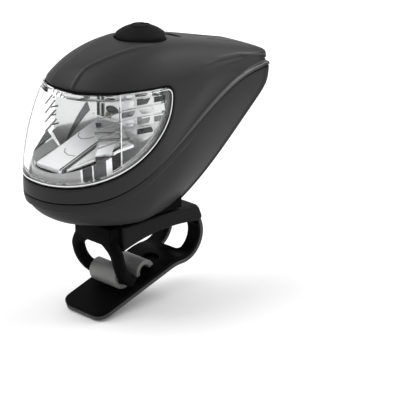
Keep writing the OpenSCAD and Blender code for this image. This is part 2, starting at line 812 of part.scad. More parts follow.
module strap_tongue() {
    hw = strap_w / 2;
    color("#17171a") on_head() on_strap() {
        plate([-hw, -tongue_l + tongue_corner, -strap_t / 2], [hw, strap_split, strap_t / 2]);
        plate([-hw + tongue_corner, -tongue_l, -strap_t / 2], [hw - tongue_corner, 0, strap_t / 2]);
        both() post(hw - tongue_corner, tongue_corner - tongue_l, -strap_t / 2, strap_t / 2,
            2 * tongue_corner);
    }
}

// Curled hook wall on the strap, l behind the crossbar, round a bar of radius r
module hook(l, r) {
    steps = 14;
    arc = [for (i = [0:steps]) mix(90 + lip_back, 270, i / steps)];
    translate([0, l, strap_t / 2]) {
        plate([-hook_w / 2, -(r + hook_t) / 2, 0], [hook_w / 2, hook_foot, hook_t]);
        translate([0, 0, r + hook_t]) across(concat([for (a = arc) (r + hook_t) * [cos(a), sin(a)]],
            [for (i = [steps:-1:0]) r * [cos(arc[i]), sin(arc[i])]]), hook_w);
    }
}
module strap_hooks() {
    color("#6f7072") on_head() on_strap() {
        hook(0, bar_d / 2 + hook_clear);
        hook(hook_step, spare_hook_r);
    }
}

upper_shell();
lower_shell();
seam_gasket();
lens();
lens_gasket();
reflector();
led_shelf();
led_emitter();
led_board();
heat_sink();
main_board();
board_screws();
switch_body();
switch_plunger();
power_button();
sensor_window();
light_sensor();
light_pipes();
indicator_leds();
battery_cell();
battery_cap();
battery_cradle();
battery_leads();
usb_socket();
usb_flap();
housing_screws();
rail_shoe();
shoe_screws();
bracket_arm();
bracket_yoke();
strap_pin();
strap_loop();
strap_tongue();
strap_hooks();
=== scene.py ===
"""Bike headlight on a handlebar strap: its looks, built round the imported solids."""

import json
import math

import bmesh
import bpy
import numpy as np
from bpy.props import FloatProperty, FloatVectorProperty, IntProperty, PointerProperty
from bpy.types import Operator, Panel, PropertyGroup
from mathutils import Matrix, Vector


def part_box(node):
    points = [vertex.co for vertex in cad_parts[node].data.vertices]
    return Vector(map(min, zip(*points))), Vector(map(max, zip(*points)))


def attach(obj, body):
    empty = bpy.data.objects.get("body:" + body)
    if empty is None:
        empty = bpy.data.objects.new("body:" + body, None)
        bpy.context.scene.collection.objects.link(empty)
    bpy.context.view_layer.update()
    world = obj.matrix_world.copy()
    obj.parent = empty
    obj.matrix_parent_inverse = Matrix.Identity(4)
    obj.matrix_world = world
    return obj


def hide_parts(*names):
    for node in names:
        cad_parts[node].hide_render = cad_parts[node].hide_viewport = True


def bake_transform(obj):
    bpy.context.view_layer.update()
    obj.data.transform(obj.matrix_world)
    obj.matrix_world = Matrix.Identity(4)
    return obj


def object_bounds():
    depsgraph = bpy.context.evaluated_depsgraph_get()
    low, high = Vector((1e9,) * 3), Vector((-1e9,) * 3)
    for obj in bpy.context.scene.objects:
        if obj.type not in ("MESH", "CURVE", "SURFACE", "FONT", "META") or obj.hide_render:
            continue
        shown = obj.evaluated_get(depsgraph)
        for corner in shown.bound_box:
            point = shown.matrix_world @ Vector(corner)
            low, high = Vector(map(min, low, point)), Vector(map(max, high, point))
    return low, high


bl_info = {
    "name": "Bike Headlight",
    "version": (1, 0, 0),
    "blender": (4, 5, 0),
    "location": "View3D > Sidebar > Headlight",
    "description": "Builds a bike headlight and its strap bracket round the packed solids",
    "category": "Object",
}

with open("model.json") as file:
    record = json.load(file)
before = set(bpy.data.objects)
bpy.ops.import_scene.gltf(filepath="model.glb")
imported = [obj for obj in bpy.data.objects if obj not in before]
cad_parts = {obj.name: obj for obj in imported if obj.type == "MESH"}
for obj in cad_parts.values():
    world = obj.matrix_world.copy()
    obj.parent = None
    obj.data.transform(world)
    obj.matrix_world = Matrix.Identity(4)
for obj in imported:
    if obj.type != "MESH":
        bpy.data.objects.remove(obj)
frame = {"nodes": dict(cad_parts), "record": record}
cad_low, cad_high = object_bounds()

# All shapes are drawn in millimetres from the centre of the button's base.
MM = 0.001
BUTTON_H = 4.8
button_low, button_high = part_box("power_button")
HEAD = np.array([0.0, (button_low.y + button_high.y) / 2, button_high.z - BUTTON_H * MM])


# Plain mesh tools

def place(points):
    """Millimetres from the button base to metres in the row frame."""
    return np.asarray(points, float) * MM + HEAD


def at(x, y, z):
    return Vector(place([x, y, z]))


def cut(points, faces, field, level=0.0, keep=None):
    """Splits faces along field == level. keep drops the other side: 'above' or 'below'."""
    values = np.asarray(field(points), float) - level
    values[np.abs(values) < 1e-7] = 1e-7
    points = list(points)
    above = values > 0
    made, out = {}, []

    def crossing(a, b):
        key = (min(a, b), max(a, b))
        if key not in made:
            a, b = key
            t = values[a] / (values[a] - values[b])
            made[key] = len(points)
            points.append(points[a] + (points[b] - points[a]) * t)
        return made[key]

    for face in faces:
        signs = [above[i] for i in face]
        if all(signs) or not any(signs):
            if keep is None or (keep == "above") == signs[0]:
                out.append(face)
            continue
        up, down = [], []
        for k, a in enumerate(face):
            nxt = (k + 1) % len(face)
            (up if signs[k] else down).append(a)
            if signs[k] != signs[nxt]:
                c = crossing(a, face[nxt])
                up.append(c)
                down.append(c)
        if keep != "below" and len(up) > 2:
            out.append(up)
        if keep != "above" and len(down) > 2:
            out.append(down)
    return np.array(points), out


def cuts(points, faces, field, levels, keep=None, edge=0.0):
    """Splits along several levels for even rows, then keeps one side of the edge."""
    if keep:
        points, faces = cut(points, faces, field, edge, keep)
    for level in levels:
        points, faces = cut(points, faces, field, level)
    return points, faces


def tidy(points, faces):
    """Drops points that no face uses and merges those that fall together."""
    points = np.asarray(points, float)
    keys = np.round(points / 2e-4).astype(np.int64)
    _, first, back = np.unique(keys, axis=0, return_index=True, return_inverse=True)
    back = back.reshape(-1)
    merged = points[first]
    kept = []
    for face in faces:
        loop = []
        for i in face:
            j = back[i]
            if not loop or loop[-1] != j:
                loop.append(j)
        if len(loop) > 1 and loop[0] == loop[-1]:
            loop.pop()
        if len(set(loop)) == len(loop) > 2:
            kept.append(loop)
    used = np.unique(np.concatenate([np.array(f) for f in kept]))
    remap = np.full(len(merged), -1)
    remap[used] = np.arange(len(used))
    return merged[used], [[int(remap[i]) for i in f] for f in kept]


def point_normals(points, faces):
    mesh = bpy.data.meshes.new("scratch")
    mesh.from_pydata([tuple(p) for p in points], [], faces)
    out = np.zeros(len(points) * 3, np.float32)
    mesh.vertex_normals.foreach_get("vector", out)
    bpy.data.meshes.remove(mesh)
    return out.reshape(-1, 3).astype(float)


def close_wall(outer, inner, faces):
    """Closed wall from two skins with the same faces, and the rim between their open edges."""
    n = len(outer)
    edges = {}
    for f in faces:
        for k, a in enumerate(f):
            edges[(a, f[(k + 1) % len(f)])] = True
    rim = [[b, a, a + n, b + n] for a, b in edges if (b, a) not in edges]
    back = [[i + n for i in reversed(f)] for f in faces]
    return np.vstack([outer, inner]), list(faces) + back + rim


def thicken(points, faces, thickness):
    """Closed wall between a skin and its copy drawn in by thickness."""
    return close_wall(points, points - point_normals(points, faces) * thickness, faces)


def grid_faces(rows, columns, wrap=False):
    out = []
    for r in range(rows - 1):
        for c in range(columns if wrap else columns - 1):
            d = (c + 1) % columns
            out.append([r * columns + c, r * columns + d, (r + 1) * columns + d, (r + 1) * columns + c])
    return out


def grid_2d(lo, hi, step):
    nx = max(2, int(round((hi[0] - lo[0]) / step)) + 1)
    ny = max(2, int(round((hi[1] - lo[1]) / step)) + 1)
    xs, ys = np.linspace(lo[0], hi[0], nx), np.linspace(lo[1], hi[1], ny)
    points = np.array([[x, y] for y in ys for x in xs])
    return points, grid_faces(ny, nx)


ROUND_ROWS = (0.06, 0.2, 0.42, 0.7, 1.0)


def pillow(inside, lo, hi, step, warp, half, radius):
    """Slab over a flat outline with rounded edges. inside(p) is the depth from the outline,
    warp(p, h) places the flat point p at the height h."""
    points, faces = grid_2d(lo, hi, step)
    points, faces = cut(points, faces, inside, 0.0, "above")
    for share in ROUND_ROWS:
        points, faces = cut(points, faces, inside, radius * share)
    depth = np.clip(inside(points), 0, radius) / radius
    round_off = np.sqrt(np.clip(1 - (1 - depth) ** 2, 0, 1))
    height = half - radius + radius * round_off
    if half > radius + 1e-6:
        height = np.where(depth <= 1e-6, half - radius, height)
    return close_wall(warp(points, height), warp(points, -height), faces)


def join(*parts):
    points, faces = [], []
    for p, f in parts:
        base = sum(len(q) for q in points)
        points.append(np.asarray(p, float))
        faces += [[i + base for i in face] for face in f]
    return np.vstack(points), faces


def lathe(profile, steps=96):
    """Turns a profile of (radius, height) about a standing axis."""
    angles = np.arange(steps) * 2 * math.pi / steps
    points = [[r * math.cos(a), r * math.sin(a), z] for r, z in profile for a in angles]
    return tidy(np.array(points), grid_faces(len(profile), steps, wrap=True))


def circle(steps):
    """Cosines and sines of even steps round a circle."""
    a = np.linspace(0, 2 * math.pi, steps, endpoint=False)
    return np.cos(a), np.sin(a)


def box_part(lo, hi):
    x, y, z = zip(lo, hi)
    points = [[x[i], y[j], z[k]] for k in (0, 1) for j in (0, 1) for i in (0, 1)]
    faces = [[0, 2, 3, 1], [4, 5, 7, 6], [0, 1, 5, 4], [2, 6, 7, 3], [0, 4, 6, 2], [1, 3, 7, 5]]
    return np.array(points, float), faces


def prism(front, back):
    """Solid between two outlines with the same number of points."""
    n = len(front)
    faces = [list(range(n)), [i + n for i in reversed(range(n))]]
    faces += [[i, i + n, (i + 1) % n + n, (i + 1) % n] for i in range(n)]
    return np.vstack([front, back]), faces


def slab_part(outline, x0, x1):
    """Side outline of (y, z) points drawn out along X."""
    return prism(*(np.array([[x, y, z] for y, z in outline], float) for x in (x0, x1)))


def build(name, points, faces, material, sharp=40.0, bevel=0.0, cap=False):
    """Makes the finished object at the origin, with its place in its mesh."""
    points, faces = tidy(points, faces)
    mesh = bpy.data.meshes.new(name)
    mesh.from_pydata([tuple(p) for p in place(points[:, :3])], [], faces)
    # A fourth value of each point becomes the tone attribute: painted reflections and shade on the mirror,
    # the share of polish on the upper shell.
    if points.shape[1] > 3:
        tone = mesh.attributes.new("tone", "FLOAT", "POINT")
        tone.data.foreach_set("value", points[:, 3].astype(np.float32))
    bm = bmesh.new()
    bm.from_mesh(mesh)
    if cap:
        bmesh.ops.holes_fill(bm, edges=[e for e in bm.edges if e.is_boundary], sides=0)
    bmesh.ops.recalc_face_normals(bm, faces=bm.faces)
    if bevel:
        edges = [e for e in bm.edges if e.is_manifold and e.calc_face_angle(0) > math.radians(30)]
        bmesh.ops.bevel(bm, geom=edges, offset=bevel * MM, segments=3, profile=0.5, affect="EDGES",
                        clamp_overlap=True)
    bm.to_mesh(mesh)
    bm.free()
    mesh.shade_smooth()
    mesh.set_sharp_from_angle(angle=math.radians(sharp))
    mesh.materials.append(material)
    obj = bpy.data.objects.new(name, mesh)
    bpy.context.scene.collection.objects.link(obj)
    return obj


def piece(name, part, body, slot, *nodes, finish=None, **how):
    """Builds a piece in its slot's finish or a variant of it, ties it to its body and hides the solids that
    it stands for."""
    obj = build(name, *part, finish_of(finish or slot), **how)
    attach(obj, body)
    if nodes:
        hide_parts(*nodes)
    return obj


# Flat shapes, as the distance inside their outline

def in_round_box(p, centre, half, radius):
    q = np.abs(p - np.array(centre)) - np.array(half) + radius
    outside = np.linalg.norm(np.maximum(q, 0), axis=1)
    return -(outside + np.minimum(np.maximum(q[:, 0], q[:, 1]), 0) - radius)


def near_line(p, line):
    """Distance to a line through several points."""
    line = np.asarray(line, float)
    best = np.full(len(p), 1e9)
    for a, b in zip(line[:-1], line[1:]):
        e = b - a
        t = np.clip(((p - a) @ e) / (e @ e), 0, 1)
        best = np.minimum(best, np.linalg.norm(p - a - t[:, None] * e, axis=1))
    return best


def in_polygon(p, outline):
    """Distance from a polygon's edge, positive inside."""
    p = np.asarray(p, float)
    closed = np.vstack([outline, outline[:1]]).astype(float)
    inside = np.zeros(len(p), bool)
    for a, b in zip(closed[:-1], closed[1:]):
        crosses = (a[1] > p[:, 1]) != (b[1] > p[:, 1])
        with np.errstate(divide="ignore", invalid="ignore"):
            x = a[0] + (p[:, 1] - a[1]) * (b[0] - a[0]) / (b[1] - a[1])
        inside ^= crosses & (p[:, 0] < x)
    best = near_line(p, closed)
    return np.where(inside, best, -best)


def ramp(value, start, run):
    """Eased rise from 0 at start to 1 at start + run."""
    u = np.clip((value - start) / run, 0, 1)
    return u * u * (3 - 2 * u)


def mix(a, b, t):
    return a + (b - a) * t


def y_of(p):
    return p[:, 1]


def z_of(p):
    return p[:, 2]


# Head form, the same rules as the solids: belly up to the brow, crown over it, hull below the seam

NOSE, TAIL, BROW = 48.8, 52.8, 37.8
BELLY_HW, BROW_HW, HULL_HW, FLOOR_HW = 24, 22.2, 23, 10.5
TAIL_HW, TAIL_TOP_HW, HULL_TAIL_HW, FLOOR_TAIL_HW = 15.4, 13.9, 15.2, 8.6
BELLY_WIDEST, BROW_WIDEST, CROWN_WIDEST, HULL_WIDEST = -12, -7, -1, -13
PLAN_POWER, CROWN_POWER, HULL_POWER, SIDE_POWER = 2.28, 2.15, 2.3, 1.3
NOSE_POWER, BULGE_FROM, BULGE_RUN, TAIL_LEAN = 2.2, 0.35, 0.65, 1.8
CROWN_MID, CROWN_REACH, CROWN_TAIL, CROWN_TAIL_RUN = -7, 30.8, 51, 6
HULL_TAIL, HULL_TAIL_LEAN, HULL_REAR, HULL_BLEND, FLOOR_FRONT = 52.4, 4, (58.5, 9.5), 1.2, 31
TAIL_CORNER = 5.0
SEAM_LOW, SEAM_FROM, SEAM_RUN, SEAM_RISE, SEAM_TILT = -49.6, -40, 82, 28, 4.5
BROW_LOW, BROW_MID, BROW_RUN = -11.4, 14, 22
CROWN_DROP, CROWN_TOP, CROWN_RUN = 3.7, -2, 14
FLOOR_LOW, FLOOR_FROM, FLOOR_RUN, FLOOR_LIFT = -63.8, 10, 26, 2.2
BELLY_ROWS, CROWN_ROWS, HULL_ROWS = 38, 36, 44
BROW_BEND = (33, 43)


def seam_z(y):
    return SEAM_LOW + SEAM_RISE * ramp(y, SEAM_FROM, SEAM_RUN) + SEAM_TILT * (y + NOSE) / (NOSE + TAIL)


def brow_z(y):
    return BROW_LOW + np.exp(-(((y - BROW_MID) / BROW_RUN) ** 2))


def crown_z(y):
    return -CROWN_DROP * (np.sqrt(1 + ((y - CROWN_TOP) / CROWN_RUN) ** 2) - 1)


def floor_z(y):
    return FLOOR_LOW + FLOOR_LIFT * ramp(-y, FLOOR_FROM, FLOOR_RUN)


def half_plan(yf, yw, hw, yr, hr, e):
    """Right half of a ring seen from above, from the nose round to the tail. yf, yw and yr are its
    front, its widest place and its rear, hw and hr the half widths there and at the rear."""
    ys = yr - TAIL_CORNER
    a = np.linspace(0, math.pi / 2, 47)
    front = np.c_[hw * np.sin(a) ** (2 / e), yw - (yw - yf) * np.clip(np.cos(a), 0, 1) ** (2 / e)]
    t = np.linspace(0, 1, 57)[1:]
    side = np.c_[hw - (hw - hr) * t**SIDE_POWER, mix(yw, ys, t)]
    b = math.pi / 3 * np.linspace(0, 1, 11)[1:] ** 2
    w = np.linspace(math.sqrt(0.5), 0, 13)[1:]
    tail = np.vstack([np.c_[hr * np.sqrt(np.cos(b)), ys + TAIL_CORNER * np.sqrt(np.sin(b))],
                      np.c_[hr * w, ys + TAIL_CORNER * (1 - w**4) ** 0.25]])
    return np.vstack([front, side, tail])


def full_ring(half, height):
    left = half[-2:0:-1] * np.array([-1, 1])
    ring = np.vstack([half, left])
    return np.c_[ring, height(ring[:, 1])]


def belly_plan(f):
    """Front, widest place and half widths at the share f of the way from the seam to the brow."""
    b = (f - BULGE_FROM) / BULGE_RUN
    return (-mix(NOSE, BROW, f**NOSE_POWER), mix(BELLY_WIDEST, BROW_WIDEST, f),
            mix(BELLY_HW, BROW_HW, b * b), mix(TAIL_HW, TAIL_TOP_HW, f * f))


def belly_ring(f, grow=0.0):
    yf, yw, hw, hr = belly_plan(f)
    half = half_plan(yf - grow, yw, hw + grow, TAIL - TAIL_LEAN * f * f + grow, hr + grow, PLAN_POWER)
    return full_ring(half, lambda y: mix(seam_z(y), brow_z(y), f))


def crown_ring(s, grow=0.0):
    """Ring of the crown, which shrinks from the brow at s = 1 to its middle at s = 0."""
    e = mix(CROWN_POWER, PLAN_POWER, np.clip((s - 0.9) / 0.1, 0, 1))
    half = half_plan(CROWN_MID - CROWN_REACH * math.sqrt(s) - grow * s, mix(CROWN_WIDEST, BROW_WIDEST, s),
                     BROW_HW * s + grow * s, CROWN_TAIL - CROWN_TAIL_RUN * (1 - s) + grow * s,
                     TAIL_TOP_HW * s + grow * s, e)
    return full_ring(half, lambda y: mix(brow_z(y), crown_z(y), 1 - s**4.4) + grow * (1 - s**4))


def hull_ring(g):
    """Ring of the hull at the share g of the way from the seam to the floor."""
    c, q = math.sqrt(max(0.0, 1 - g * g)), 1 - g * g
    a, b = HULL_TAIL - HULL_TAIL_LEAN * g, mix(*HULL_REAR, g)
    rear = min(a, b)
    if abs(a - b) < 20:
        rear = -HULL_BLEND * math.log(math.exp(-a / HULL_BLEND) + math.exp(-b / HULL_BLEND))
    half = half_plan(-mix(FLOOR_FRONT, NOSE, c), HULL_WIDEST, mix(FLOOR_HW, HULL_HW, c), rear,
                     mix(FLOOR_TAIL_HW, HULL_TAIL_HW, q), HULL_POWER)
    return full_ring(half, lambda y: mix(seam_z(y), floor_z(y), g))


def soften(rings, first, last, times=5):
    """Evens out the bend between neighbouring rings."""
    for _ in range(times):
        old = [r.copy() for r in rings]
        for k in range(first, last):
            rings[k] = old[k] / 2 + (old[k - 1] + old[k + 1]) / 4
    return rings


def upper_grid(grow=0.0):
    rings = [belly_ring(f, grow) for f in np.linspace(0, 1, BELLY_ROWS)]
    rings += [crown_ring(s, grow) for s in np.linspace(1, 0, CROWN_ROWS)[1:]]
    rings = soften(rings, *BROW_BEND)
    return tidy(np.vstack(rings), grid_faces(len(rings), len(rings[0]), wrap=True))


def lower_grid():
    rings = [hull_ring(math.sin(a)) for a in np.linspace(0, math.pi / 2, HULL_ROWS)]
    rings += [rings[-1] * np.array([k, 1, 1]) for k in (0.75, 0.5, 0.25, 0.0)]
    faces = grid_faces(len(rings), len(rings[0]), wrap=True)
    return tidy(np.vstack(rings), [f[::-1] for f in faces])


LENS_CORNER, LENS_MID = 2.6, (-52.0, -11.3)
LENS_REACH, LENS_DROP = 46.8, 32.3
LENS_AHEAD = -80
GASKET_W = 0.8
LENS_PROUD, BAND_PROUD, GASKET_SUNK = 0.25, 0.28, 0.35


def lens_outline():
    a = np.radians(np.linspace(3, 90, 40))
    arc = np.c_[LENS_MID[0] + (LENS_REACH - LENS_CORNER) * np.cos(a),
                LENS_MID[1] - LENS_CORNER - (LENS_DROP - 2 * LENS_CORNER) * np.sin(a)]
    return np.vstack([[[LENS_AHEAD, LENS_MID[1] - LENS_CORNER]], arc, [[LENS_AHEAD, arc[-1][1]]]])


def off_lens(p):
    """Distance outside the lens opening, seen from the side."""
    return -in_polygon(p[:, 1:3], lens_outline()) - LENS_CORNER


def fillet(distance, radius):
    """How far a rounded edge drops at that distance from it."""
    d = np.clip(distance, 0, radius)
    return radius - np.sqrt(np.maximum(radius**2 - (radius - d) ** 2, 0))


# Finishes

finishes = {}


def material(name, colour, roughness, metallic=0.0, grain=0.0, grain_size=0.3, tone=0.0, toned_from=None,
             polish=None, **sockets):
    """Procedural finish. grain is the depth of a fine moulded texture, tone how much it mottles the colour,
    toned_from the dark colour of the painted reflections and shade that a mesh's tone value blends
    up from, and polish the specular level and the roughness where that value is 1."""
    if name in finishes:
        return finishes[name]
    m = bpy.data.materials.new(name)
    m.use_nodes = True
    tree = m.node_tree
    shader = tree.nodes["Principled BSDF"]
    shader.inputs["Base Color"].default_value = (*colour, 1)
    shader.inputs["Roughness"].default_value = roughness
    shader.inputs["Metallic"].default_value = metallic
    for key, value in sockets.items():
        shader.inputs[key.replace("_", " ")].default_value = value
    if grain or tone:
        where = tree.nodes.new("ShaderNodeTexCoord")
        noise = tree.nodes.new("ShaderNodeTexNoise")
        noise.inputs["Scale"].default_value = 1000 / grain_size
        noise.inputs["Detail"].default_value = 3
        tree.links.new(where.outputs["Object"], noise.inputs["Vector"])
    if grain:
        bump = tree.nodes.new("ShaderNodeBump")
        bump.inputs["Strength"].default_value = grain
        bump.inputs["Distance"].default_value = 0.1 * MM
        tree.links.new(noise.outputs["Fac"], bump.inputs["Height"])
        tree.links.new(bump.outputs["Normal"], shader.inputs["Normal"])
    if tone:
        blend = tree.nodes.new("ShaderNodeMix")
        blend.data_type = "RGBA"
        blend.inputs["A"].default_value = (*[v * (1 - tone) for v in colour], 1)
        blend.inputs["B"].default_value = (*[v * (1 + tone) for v in colour], 1)
        tree.links.new(noise.outputs["Fac"], blend.inputs["Factor"])
        tree.links.new(blend.outputs["Result"], shader.inputs["Base Color"])
    # The mesh's tone value paints reflections and shade into the colour: dark below 0.3, full bright above
    # 0.75.
    if toned_from:
        told, shades = tree.nodes.new("ShaderNodeAttribute"), tree.nodes.new("ShaderNodeValToRGB")
        told.attribute_name = "tone"
        dark, bright = shades.color_ramp.elements
        dark.position, dark.color = 0.3, (*toned_from, 1)
        bright.position, bright.color = 0.75, (*colour, 1)
        tree.links.new(told.outputs["Fac"], shades.inputs["Fac"])
        tree.links.new(shades.outputs["Color"], shader.inputs["Base Color"])
    if polish:
        told = tree.nodes.new("ShaderNodeAttribute")
        told.attribute_name = "tone"
        plain = (sockets["Specular_IOR_Level"], roughness)
        for key, low, high in zip(("Specular IOR Level", "Roughness"), plain, polish):
            grade = tree.nodes.new("ShaderNodeMapRange")
            grade.inputs["To Min"].default_value, grade.inputs["To Max"].default_value = low, high
            tree.links.new(told.outputs["Fac"], grade.inputs["Value"])
            tree.links.new(grade.outputs["Result"], shader.inputs[key])
    finishes[name] = m
    return m


def finish_of(slot):
    """The finish of that name: a material slot of the record, or a variant of one."""
    c = bpy.context.scene.headlight_colours
    shell, glow = tuple(c.shell), tuple(c.glow)
    moulded = dict(grain=0.35, grain_size=0.35, tone=0.18)
    satin = dict(grain=0.12, grain_size=0.5, tone=0.15)
    rubber = dict(grain=0.12, grain_size=0.4, tone=0.15)
    table = {
        "shell_black": dict(colour=shell, roughness=0.5, polish=(1.0, 0.36), Specular_IOR_Level=0.25,
                            **moulded),
        "lower_black": dict(colour=shell, roughness=0.55, Specular_IOR_Level=0.2, **moulded),
        "gasket_rubber": dict(colour=(0.003, 0.003, 0.003), roughness=0.7, tone=0.1,
                              Specular_IOR_Level=0.05),
        "clear_lens": dict(colour=(1, 1, 1), roughness=0.0, Transmission_Weight=1.0, IOR=1.22),
        # White finish that paints light: the highlight along the lens edge and the lit look of the tray
        # patch.
        "clear_edge": dict(colour=(0.85, 0.86, 0.87), roughness=0.25, tone=0.02),
        # Mirror coat: its colour holds painted reflections and shade, running from the dark colour up to
        # bright by each point's tone.
        "mirror_coat": dict(colour=(0.9, 0.905, 0.91), roughness=0.14, metallic=0.5,
                            toned_from=(0.03, 0.031, 0.033)),
        "bright_aluminium": dict(colour=(0.62, 0.625, 0.63), roughness=0.4, grain=0.05, tone=0.04),
        "led_phosphor": dict(colour=(0.17, 0.165, 0.13), roughness=0.3, tone=0.05),
        "board_green": dict(colour=(0.02, 0.16, 0.07), roughness=0.45, grain=0.1, tone=0.2),
        "screw_steel": dict(colour=(0.6, 0.6, 0.59), roughness=0.3, metallic=1.0, grain=0.05, tone=0.05),
        "inner_plastic": dict(colour=(0.09, 0.09, 0.1), roughness=0.55, grain=0.2, tone=0.1),
        "button_rubber": dict(colour=tuple(c.button), roughness=0.55, grain=0.2, grain_size=0.3, tone=0.15,
                              Specular_IOR_Level=0.03),
        "dark_window": dict(colour=(0.004, 0.0045, 0.006), roughness=0.25, tone=0.1,
                            Specular_IOR_Level=0.06),
        "blue_light_pipe": dict(colour=glow, roughness=0.3, tone=0.02, Emission_Color=(*glow, 1),
                                Emission_Strength=1.6),
        "cell_sleeve": dict(colour=(0.05, 0.18, 0.42), roughness=0.35, tone=0.05),
        "lead_red": dict(colour=(0.4, 0.03, 0.02), roughness=0.5, tone=0.05),
        "flap_rubber": dict(colour=(0.014, 0.014, 0.015), roughness=0.6, grain=0.2, tone=0.1),
        "bracket_black": dict(colour=tuple(c.bracket), roughness=0.5, Specular_IOR_Level=0.025, **satin),
        # Lighter, glossier copy of the bracket finish for the arm, whose side faces the light: painted
        # light.
        "arm_black": dict(colour=(0.005, 0.005, 0.0053), roughness=0.5, Specular_IOR_Level=0.1, **satin),
        "strap_rubber": dict(colour=tuple(c.strap), roughness=0.42, Specular_IOR_Level=0.02, **rubber),
        # Lighter, glossier copy of the strap rubber: a painted sheen on the strap's edge layer.
        "strap_edge": dict(colour=(0.016, 0.016, 0.0163), roughness=0.4, Specular_IOR_Level=0.6, **rubber),
        "hook_grey": dict(colour=tuple(c.hook), roughness=0.42, grain=0.25, grain_size=0.25, tone=0.12),
    }
    return material(slot, **table[slot])


class HeadlightSizes(PropertyGroup):
    """Sizes that a user would change."""

    wall: FloatProperty(name="Shell wall", description="Thickness of the shell skins", unit="LENGTH",
                        default=1.6 * MM, min=0.8 * MM, max=2 * MM)
    step: FloatProperty(name="Seam step", description="Depth of the steps beside the lips along the seam",
                        unit="LENGTH", default=0.8 * MM, min=0, max=1.2 * MM)
    lens_wall: FloatProperty(name="Lens wall", description="Thickness of the clear lens", unit="LENGTH",
                             default=2.2 * MM, min=1 * MM, max=2.6 * MM)
    facet_rows: IntProperty(name="Facet rows", description="Rows of mirror facets on each side",
                            default=9, min=3, max=14)
    facet_columns: IntProperty(name="Facet columns", description="Columns of mirror facets on each side",
                               default=3, min=2, max=8)
    strap_groove: FloatProperty(name="Strap groove", description="Depth of the groove in the strap's edge",
                                unit="LENGTH", default=0.5 * MM, min=0.1 * MM, max=1 * MM)


class HeadlightColours(PropertyGroup):
    """Colours of the finishes, linear."""

    shell: FloatVectorProperty(name="Shell", description="Matte shell colour", subtype="COLOR", size=3,
                               min=0, max=1, default=(0.011, 0.011, 0.0113))
    button: FloatVectorProperty(name="Button", description="Button rubber colour", subtype="COLOR", size=3,
                                min=0, max=1, default=(0.008, 0.008, 0.0083))
    bracket: FloatVectorProperty(name="Bracket", description="Bracket colour", subtype="COLOR", size=3,
                                 min=0, max=1, default=(0.002, 0.002, 0.0022))
    strap: FloatVectorProperty(name="Strap", description="Strap rubber colour", subtype="COLOR", size=3,
                               min=0, max=1, default=(0.002, 0.002, 0.0022))
    hook: FloatVectorProperty(name="Hook", description="Grey hook colour", subtype="COLOR", size=3,
                              min=0, max=1, default=(0.15, 0.15, 0.147))
    glow: FloatVectorProperty(name="Glow", description="Colour of the lit battery slits", subtype="COLOR",
                              size=3, min=0, max=1, default=(0.02, 0.12, 1.0))


# Shells

FRONT_CREASE = [(6.4, -38.5), (5.4, -30), (7.2, -21), (9.9, -9.1), (12.4, 2)]
SHOULDER = [(8, -8.4), (11, -8.5), (22.9, -8.5), (35, -9.6), (46.8, -12), (52, -13.4)]
BUTTON_HOLE = 9.3
WINDOW = dict(y=15.4, w=7.2, l=4.6)
SLIT = dict(x=3.4, y=29.3, w=0.9, l=17.0, splay=7.0)
FLAP = dict(w=15.8, h=4.4, t=1.2, y=51.7, low=-16.6, gap=0.3)
SHOE_HOLE = dict(hw=10.6, y=-4.9, hl=15.0, top=-57)
SCREW_HOLE = dict(x=8.2, y=44, r=2.2)
SEAM_GAP, SEAM_ROUND = 0.2, 0.3
LIP_H, LOWER_LIP_H, STEP_RUN = 1.4, 3.2, 0.8
CREASE_H, SHOULDER_DEPTH, SHOULDER_RUN = 0.7, 0.8, 1.2
# What the distances below give on the other side of the head
FAR_OFF = 9.0


def off_slit(p):
    a = math.radians(SLIT["splay"])
    x, y = np.abs(p[:, 0]) - SLIT["x"], p[:, 1] - SLIT["y"]
    along, aside = y * math.cos(a) + x * math.sin(a), x * math.cos(a) - y * math.sin(a)
    half = (SLIT["w"] / 2, SLIT["l"] / 2)
    return np.where(p[:, 2] > -14, -in_round_box(np.c_[aside, along], (0, half[1]), half, half[0]), FAR_OFF)


def off_window(p):
    half = (WINDOW["w"] / 2, WINDOW["l"] / 2)
    return np.where(p[:, 2] > -8, -in_round_box(p[:, :2], (0, WINDOW["y"]), half, half[1]), FAR_OFF)


def off_flap(p):
    mid = FLAP["low"] + FLAP["h"] / 2
    half = (FLAP["w"] / 2 + FLAP["gap"], FLAP["h"] / 2 + FLAP["gap"])
    return np.where(p[:, 1] > 40, -in_round_box(p[:, [0, 2]], (0, mid), half, 1.2), FAR_OFF)


def off_button(p):
    return np.where(p[:, 2] > -8, np.hypot(p[:, 0], p[:, 1]) - BUTTON_HOLE, FAR_OFF)


def off_shoe(p):
    q = np.c_[np.abs(p[:, 0]) - SHOE_HOLE["hw"], np.abs(p[:, 1] - SHOE_HOLE["y"]) - SHOE_HOLE["hl"]]
    return np.where(p[:, 2] < SHOE_HOLE["top"], q.max(axis=1), FAR_OFF)


def off_screws(p):
    away = np.hypot(np.abs(p[:, 0]) - SCREW_HOLE["x"], p[:, 1] - SCREW_HOLE["y"]) - SCREW_HOLE["r"]
    return np.where(under_seam(p) > 3, away, FAR_OFF)


def over_seam(p):
    return p[:, 2] - seam_z(p[:, 1])


def under_seam(p):
    return -over_seam(p)


def below_shoulder(p):
    """How far a point lies below the shoulder line, seen from the side."""
    line = np.array(SHOULDER)
    return np.interp(p[:, 1], line[:, 0], line[:, 1]) - p[:, 2]


def beside_crease(p):
    """Distance outside the crease on the front of the crown, seen from above."""
    line = np.array(FRONT_CREASE)
    return np.abs(p[:, 0]) - np.interp(p[:, 1], line[:, 1], line[:, 0])


def lip_fade(p):
    return ramp(p[:, 1], -14, 30)


def crease_fade(p):
    return ramp(p[:, 2], -13, 2) * (1 - ramp(p[:, 1], -10, 12))


def shoulder_fade(p):
    return ramp(p[:, 1], SHOULDER[0][0], 12) * ramp(np.abs(p[:, 0]), 6, 5)


